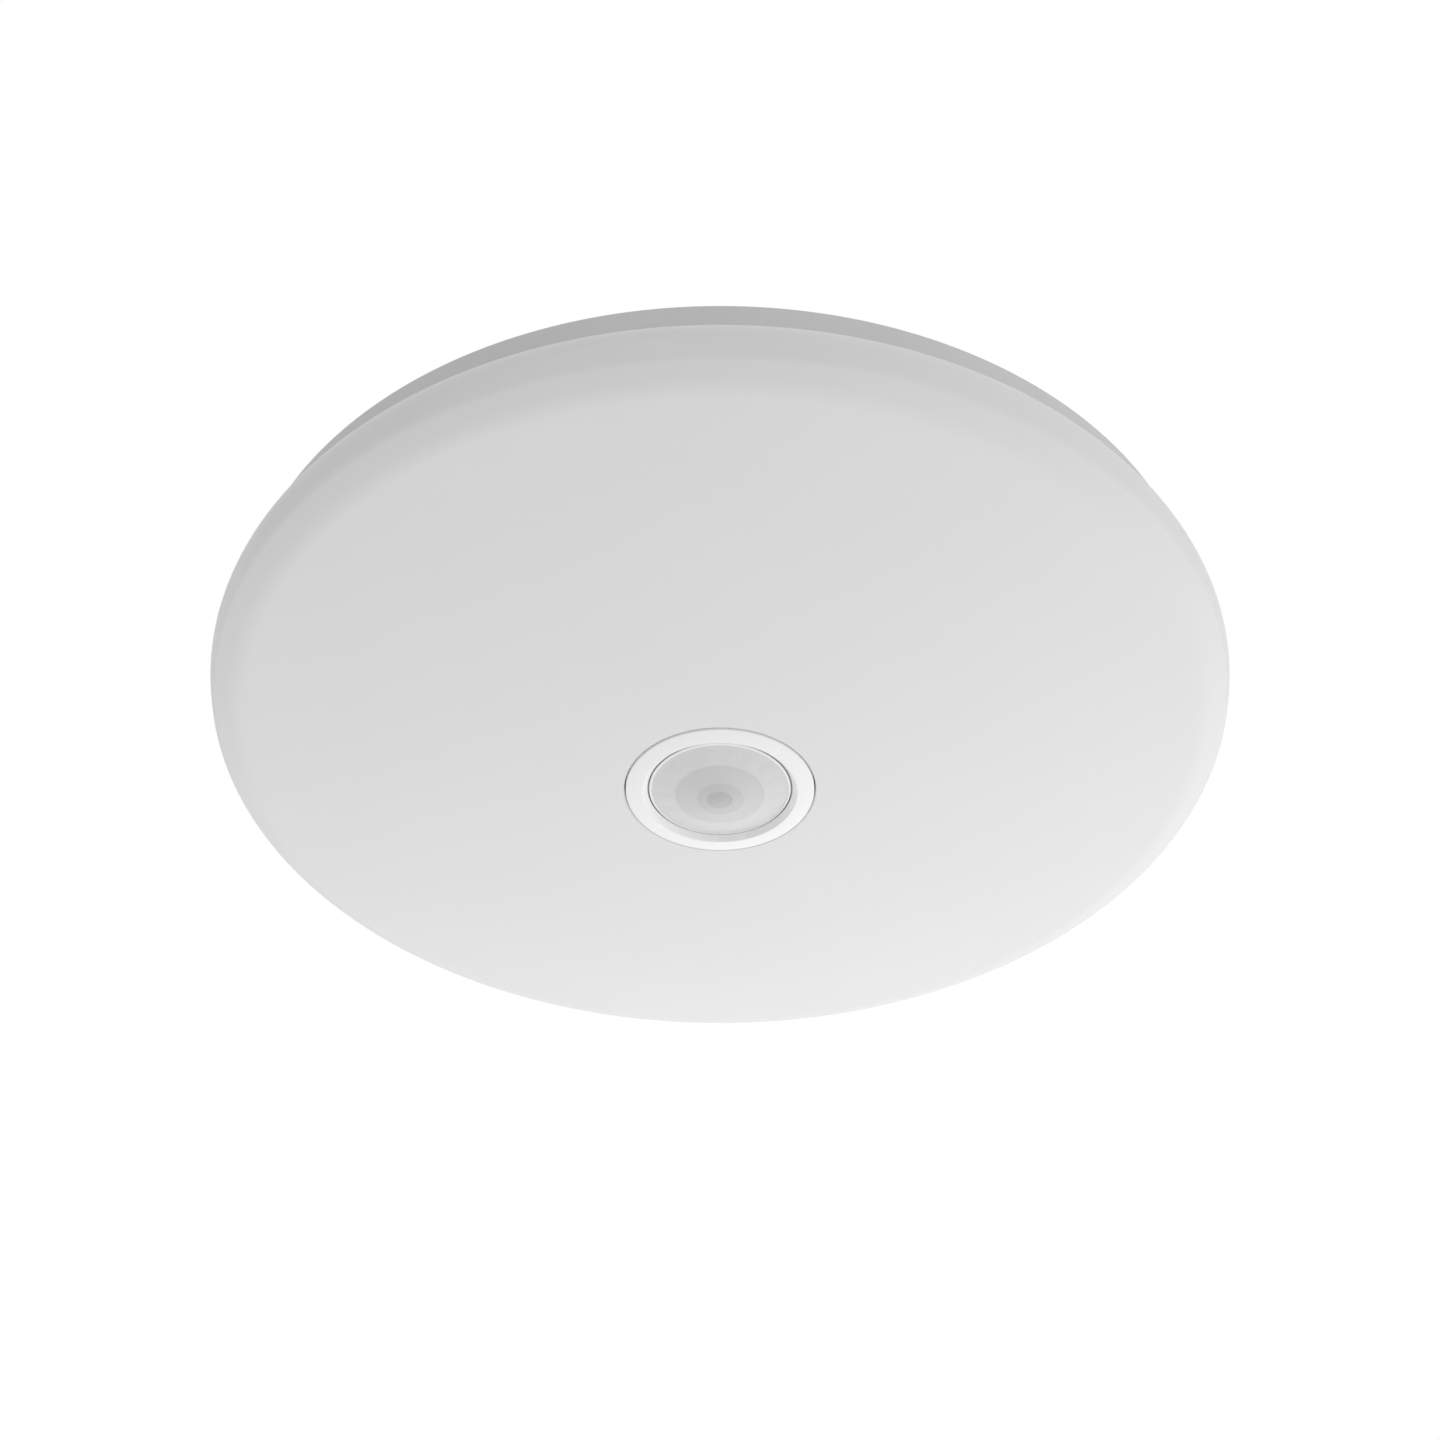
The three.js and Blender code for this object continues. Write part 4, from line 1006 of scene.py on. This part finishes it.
def button_shape(x):
    low = TERMINAL_LOW.z
    stem = brick(-2.5, 2.5, -2.5, 2.5, low - 1.2, -17.6, 0.3)
    crown = brick(-1.9, 1.9, -1.9, 1.9, low - 1.8, low - 1, 0.35, 3)
    slot = brick(-1.3, 1.3, -0.35, 0.35, low - 2.5, low - 1.3, 0.08)
    return shifted(carved(stem, [crown], [slot]), x, BUTTON_Y)


show("terminal_body", terminal_shape(), GREY, "base", ["terminal_block"])
for i, x in enumerate(POLES):
    button = f"terminal_button_{i + 1}"
    show(f"release_button_{i + 1}", button_shape(x), ORANGE, button, [button])

# ---------------------------------------------------------------- driver

COVER_LOW, COVER_HIGH = span("driver_cover")
CASE_WALL = 1.8


def driver_cover_shape():
    low, high = COVER_LOW, COVER_HIGH
    body = brick(low.x, high.x, low.y, high.y, low.z, high.z + 3, 1.6, 4)
    wall = CASE_WALL
    cuts = [
        brick(low.x - 1, high.x + 1, low.y - 1, high.y + 1, high.z, high.z + 5, 0),
        brick(low.x + wall, high.x - wall, low.y + wall, high.y - wall, low.z + wall, high.z + 2, 0.8),
    ]
    for i in range(-2, 3):
        cuts.append(brick(i * 9 - 1.2, i * 9 + 1.2, 50, 72, low.z - 1, low.z + wall + 1, 0.5))
    cuts.append(brick(-41, -27, 50, 74, low.z - 1, low.z + 0.35, 0.15))
    for side in (-1, 1):
        edge = side * high.x
        for y0, y1 in ((56, 57.2), (64.8, 66)):
            cuts.append(brick(edge - 0.7, edge + 0.7, y0, y1, -26, high.z + 1, 0.1))
    return carved(body, cuts=cuts)


def driver_tray_shape():
    low, high = span("driver_tray")
    inner = COVER_HIGH.x - CASE_WALL
    body = brick(COVER_LOW.x, COVER_HIGH.x, low.y, high.y, low.z, high.z, 0.5)
    ear = brick(-6.5, 6.5, -6, 6, high.z - 2, high.z, 0.6)
    ears = [shifted(ear, x, y) for x, y in TRAY_SCREWS]
    cuts = [brick(-inner, inner, low.y + CASE_WALL, high.y - CASE_WALL, low.z - 1, high.z - 2, 0.6)]
    cuts += pilots(TRAY_SCREWS, high.z - 3, high.z + 1)
    board_top = span("driver_board")[1].z
    cuts.append(brick(-38, -22, low.y - 1, low.y + 2.8, -14.5, board_top, 0.4))
    cuts.append(brick(-6, 6, low.y - 1, low.y + 2.8, -14, board_top, 0.4))
    cuts.append(brick(inner - 1, COVER_HIGH.x + 1, 62.5, 71.5, -14, board_top, 0.4))
    return carved(body, [merged(*ears)], cuts)


show("driver_lid", driver_cover_shape(), CASE, "base", ["driver_cover"])
show("driver_case", driver_tray_shape(), CASE, "base", ["driver_tray"])

# ---------------------------------------------------------------- sensor pod

POD_R = 26.0
POD_LEDGE = -27.0
POD_TOP = FLOOR_Z - GAP
DIALS = ((38.0, 7.0), (38.0, -7.0))
GUSSET_ANGLES = (125, 150, 205, 232, 262)
TICKS = 7
TICK_ANGLE = 45
DIAL_R = 4.1
FLUTES = 24


def pod_shape():
    end = span("sensor_housing")[0].z
    shell = revolved(filleted([
        (POD_R, end, 0.5),
        (POD_R, POD_TOP - 3, 1.5),
        (LAND_R - 1, POD_TOP - 3, 0.6),
        (LAND_R - 1, POD_TOP, 0.4),
        (21.5, POD_TOP, 0.4),
        (21.5, POD_LEDGE, 0.2),
        (24, POD_LEDGE, 0.2),
        (24, end, 0.4),
    ], 4), 128)
    bay = brick(20, 50, -15, 15, -20, POD_TOP, 1.2, 3)
    gussets = []
    for angle in GUSSET_ANGLES:
        outline = [
            (POD_R - 1, -21),
            (POD_R + 0.6, -21),
            (41, POD_TOP - 2.6),
            (POD_R - 1, POD_TOP - 2.6),
        ]
        web = placed(extruded(outline, -0.8, 0.8, 0.2), Matrix.Rotation(math.pi / 2, 4, "X"))
        gussets.append(spun(web, math.radians(angle)))
    ring = revolved([(5.2, -20.5), (5.7, -20.5), (5.7, -19.5), (5.2, -19.5)], 48)
    rings = [shifted(ring, x, y) for x, y in DIALS]
    ticks = []
    for x, y in DIALS:
        for i in range(TICKS):
            tick = brick(6.1, 7.0, -0.16, 0.16, -20.3, -19.5, 0.05)
            ticks.append(shifted(spun(tick, math.radians(TICK_ANGLE * (i + 1))), x, y))
    cuts = [
        drum(0, 0, 21.5, POD_LEDGE, POD_TOP + 1, 128),
        drum(0, 0, 24, end - 1, POD_LEDGE, 128),
        brick(28, 48.2, -13.2, 13.2, -18.2, POD_TOP + 1, 0.8),
        brick(18, 29, -4, 4, POD_TOP - 3, POD_TOP + 1, 0.3),
        brick(-6, 6, 17.5, 45, POD_TOP - 4, POD_TOP + 1, 0.3),
    ]
    cuts += [drum(x, y, 4.4, -21, -17, 48) for x, y in DIALS]
    cuts += pilots(POD_SCREWS, POD_TOP - 4, POD_TOP + 1)
    return carved(shell, [bay, merged(*gussets), merged(*rings), merged(*ticks)], cuts)


def dial_shape(x, y, node):
    low, high = span(node)
    r = DIAL_R
    outline = filleted([(0, low.z, 0), (r, low.z, 0.5), (r, high.z, 0.3), (0, high.z, 0)], 3)
    knob = revolved(outline, 64)
    slot = brick(-0.6, 0.6, -r + 1, r - 1, low.z - 1, low.z + 1.2, 0.12)
    mark = brick(-0.35, 0.35, r - 0.95, r - 0.35, low.z - 1, low.z + 0.3, 0.05)
    flute = drum(r + 0.12, 0, 0.3, low.z + 0.7, high.z + 1, 10)
    flutes = merged(*(spun(flute, 2 * math.pi * i / FLUTES) for i in range(FLUTES)))
    return shifted(carved(knob, cuts=[slot, mark, flutes]), x, y)


show("sensor_pod", pod_shape(), CASE, "base", ["sensor_housing"])
for (x, y), node in zip(DIALS, ("lux_dial", "time_dial")):
    show(f"{node}_knob", dial_shape(x, y, node), DIAL, node, [node])

# ---------------------------------------------------------------- leads

MAINS_LEAD_R = 1.2
THIN_LEAD_R = 0.8
LEAD_SIDES = 16
LEAD_STEPS = 10
RIBBON_CORES = 6
DRIVER_Y0 = 44.0
DRIVER_X = 46.0


def round_section(radius):
    turns = [2 * math.pi * i / LEAD_SIDES for i in range(LEAD_SIDES)]
    return [(radius * math.cos(a), radius * math.sin(a)) for a in turns]


def mains_lead(pole):
    bend = 50.5 - pole * 3.4
    x = pole * 9
    end = -30 + pole * 3.6
    turn = [(*around(bend, math.radians(a)), WIRE_Z - 0.4) for a in (236, 208, 180, 155, 138)]
    return [
        (x, -67, WIRE_Z),
        (x, -61, WIRE_Z),
        (x - 5, -bend - 3, WIRE_Z),
        (x - 14, -bend + 1.2, WIRE_Z),
        *turn,
        (end, DRIVER_Y0 - 1, WIRE_Z - 1),
        (end, DRIVER_Y0 + 4, WIRE_Z - 1.4),
    ]


def led_lead(side):
    x, y = around(LED_RING_R - 2.5, math.pi / 4)
    across = side * 2 * math.sin(math.pi / 4)
    z = BOARD_FACE - GAP - 2
    return [
        (DRIVER_X - 4, 67 + side * 1.6, -12.2),
        (DRIVER_X + 3, 67 + side * 1.6, -12.2),
        (DRIVER_X + 17, 68 + side * 1.8, -12.6),
        (x - 7 - across, y - 6 + across, z),
        (x - across, y + across, z),
    ]


def sensor_lead(side):
    x = side * 2.6
    return [
        (x, 12, POD_LEDGE + 6.3),
        (x, 12.5, -14),
        (x, 16, -8.6),
        (x, 24, -6.9),
        (x, 34, -7.2),
        (x, 39, -10),
        (x, DRIVER_Y0 + 0.5, -11.8),
        (x, DRIVER_Y0 + 2.4, -12),
    ]


def ribbon_section():
    """Six cores side by side in one flat ribbon."""
    top, bottom = [], []
    for i in range(RIBBON_CORES):
        centre = i - (RIBBON_CORES - 1) / 2
        for k in range(5):
            a = math.pi * (1 - k / 4)
            point = (centre + 0.5 * math.cos(a), 0.35 * math.sin(a))
            top.append(point)
            bottom.append((point[0], -point[1]))
    return top + bottom[::-1][1:-1]


def show_leads():
    routes = {}
    for pole, node in zip((-1, 0, 1), ("lead_live", "lead_neutral", "lead_switched")):
        routes[node] = (mains_lead(pole), MAINS_LEAD_R)
    for side, node in ((1, "led_lead_positive"), (-1, "led_lead_negative")):
        routes[node] = (led_lead(side), THIN_LEAD_R)
    for i, side in enumerate((-1, 0, 1)):
        routes[f"sensor_lead_{i + 1}"] = (sensor_lead(side), THIN_LEAD_R)
    for node, (route, radius) in routes.items():
        shape = swept(smooth_path(route, LEAD_STEPS), round_section(radius))
        show(f"{node}_wire", shape, LEAD_COLOURS[SLOTS[node]], "base", [node], weighted=False)
    route = [(34, 0, -7.2), (27, 0, -6.6), (19, 0, -8.5), (16.5, 0, -16), (16.5, 0, POD_LEDGE + GAP)]
    ribbon = swept(smooth_path(route, LEAD_STEPS), ribbon_section())
    show("ribbon_cable", ribbon, RIBBON, "base", ["setting_ribbon"])


show_leads()

# ---------------------------------------------------------------- CAD pieces that keep their shape

KEPT = {
    "driver_board": (MASK_GREEN, 0.1),
    "driver_transformer": (COPPER, 0.3),
    "driver_choke": (BLACK, 0.3),
    "driver_capacitor": (BLACK, 0.4),
    "sensor_board": (MASK_GREEN, 0.1),
    "pir_detector": (CAN, 0.1),
    "pir_window": (GLASS_DARK, 0.05),
    "light_sensor": (CELL, 0.2),
    "sensor_plug": (CREAM, 0.2),
    "setting_board": (MASK_GREEN, 0.1),
    "lux_trimmer": (TRIMMER, 0.2),
    "time_trimmer": (TRIMMER, 0.2),
}

for node, (material, width) in KEPT.items():
    obj = frame["nodes"][node]
    obj.data.materials.clear()
    obj.data.materials.append(material)
    soften(obj, width)

# ---------------------------------------------------------------- room, light and camera

FLOOR_HALF = 60.0
FLOOR_HEIGHT = -2.4
GLOW = 0.833
GLOW_ABOVE = 0.85
GLOW_SLOPE = (0.321, 0.462, -0.088)
GLOW_HORIZON = 0.15
GLOW_LIMIT = 2.0
RIM_LIGHT_SIDE = (-0.42, -0.9, 0.35)
RIM_LIGHT_SPREAD = 60
RIM_LIGHT_STRENGTH = 0.6
CAMERA_DISTANCE = 7 * OUTER_R * MM
CAMERA_BELOW = math.radians(41.9)
CAMERA_AIM = math.radians(-1.0)
CAMERA_LENS = 87.5


def make_floor():
    half, height = FLOOR_HALF, FLOOR_HEIGHT
    corners = [(-half, -half, height), (half, -half, height), (half, half, height), (-half, half, height)]
    floor = plain_object("floor", (corners, [(0, 1, 2, 3)]))
    floor.data.materials.append(Finish("pale_floor", (0.88, 0.88, 0.88), 0.8).mottled(900, 0.01).material)
    floor.visible_diffuse = False
    floor.visible_glossy = False
    floor.visible_shadow = False


def make_world():
    """A white backdrop for the camera, and for all else a glow that is stronger towards one side."""
    world = bpy.data.worlds.new("studio")
    bpy.context.scene.world = world
    world.use_nodes = True
    nodes, links = world.node_tree.nodes, world.node_tree.links
    nodes.clear()
    place = nodes.new("ShaderNodeTexCoord")
    facing = nodes.new("ShaderNodeVectorMath")
    facing.operation = "DOT_PRODUCT"
    facing.inputs[1].default_value = GLOW_SLOPE
    links.new(place.outputs["Generated"], facing.inputs[0])
    glow = nodes.new("ShaderNodeMath")
    glow.operation = "ADD"
    glow.inputs[1].default_value = GLOW
    links.new(facing.outputs["Value"], glow.inputs[0])
    height = nodes.new("ShaderNodeSeparateXYZ")
    links.new(place.outputs["Generated"], height.inputs["Vector"])
    ceiling = nodes.new("ShaderNodeMapRange")
    keys = ("From Min", "From Max", "To Min", "To Max")
    for key, number in zip(keys, (0.0, GLOW_HORIZON, GLOW_LIMIT, GLOW_ABOVE)):
        ceiling.inputs[key].default_value = number
    links.new(height.outputs["Z"], ceiling.inputs["Value"])
    lower = nodes.new("ShaderNodeMath")
    lower.operation = "MINIMUM"
    links.new(glow.outputs["Value"], lower.inputs[0])
    links.new(ceiling.outputs["Result"], lower.inputs[1])
    lit = nodes.new("ShaderNodeBackground")
    links.new(lower.outputs["Value"], lit.inputs["Strength"])
    lit.inputs["Color"].default_value = (1, 1, 1, 1)
    seen = nodes.new("ShaderNodeBackground")
    seen.inputs["Strength"].default_value = 1.0
    seen.inputs["Color"].default_value = (1, 1, 1, 1)
    path = nodes.new("ShaderNodeLightPath")
    mix = nodes.new("ShaderNodeMixShader")
    links.new(path.outputs["Is Camera Ray"], mix.inputs["Fac"])
    links.new(lit.outputs["Background"], mix.inputs[1])
    links.new(seen.outputs["Background"], mix.inputs[2])
    out = nodes.new("ShaderNodeOutputWorld")
    links.new(mix.outputs["Shader"], out.inputs["Surface"])


def make_rim_light():
    """A soft light from the near side, a little above the ceiling line."""
    data = bpy.data.lights.new("rim_light", "SUN")
    data.angle = math.radians(RIM_LIGHT_SPREAD)
    data.energy = RIM_LIGHT_STRENGTH
    lamp = bpy.data.objects.new("rim_light", data)
    bpy.context.scene.collection.objects.link(lamp)
    lamp.location = Vector(RIM_LIGHT_SIDE)
    lamp.rotation_euler = lamp.location.to_track_quat("Z", "Y").to_euler()


def make_camera():
    data = bpy.data.cameras.new("camera")
    data.lens = CAMERA_LENS
    data.sensor_width = 36.0
    data.clip_start = 0.01
    camera = bpy.data.objects.new("camera", data)
    bpy.context.scene.collection.objects.link(camera)
    near = -CAMERA_DISTANCE * math.cos(CAMERA_BELOW)
    below = -CAMERA_DISTANCE * math.sin(CAMERA_BELOW)
    camera.location = (0, near, below)
    camera.rotation_euler = (math.pi / 2 + CAMERA_BELOW + CAMERA_AIM, 0, 0)
    bpy.context.scene.camera = camera


make_camera()
make_floor()
make_world()
make_rim_light()
bpy.context.scene.view_settings.view_transform = "Standard"
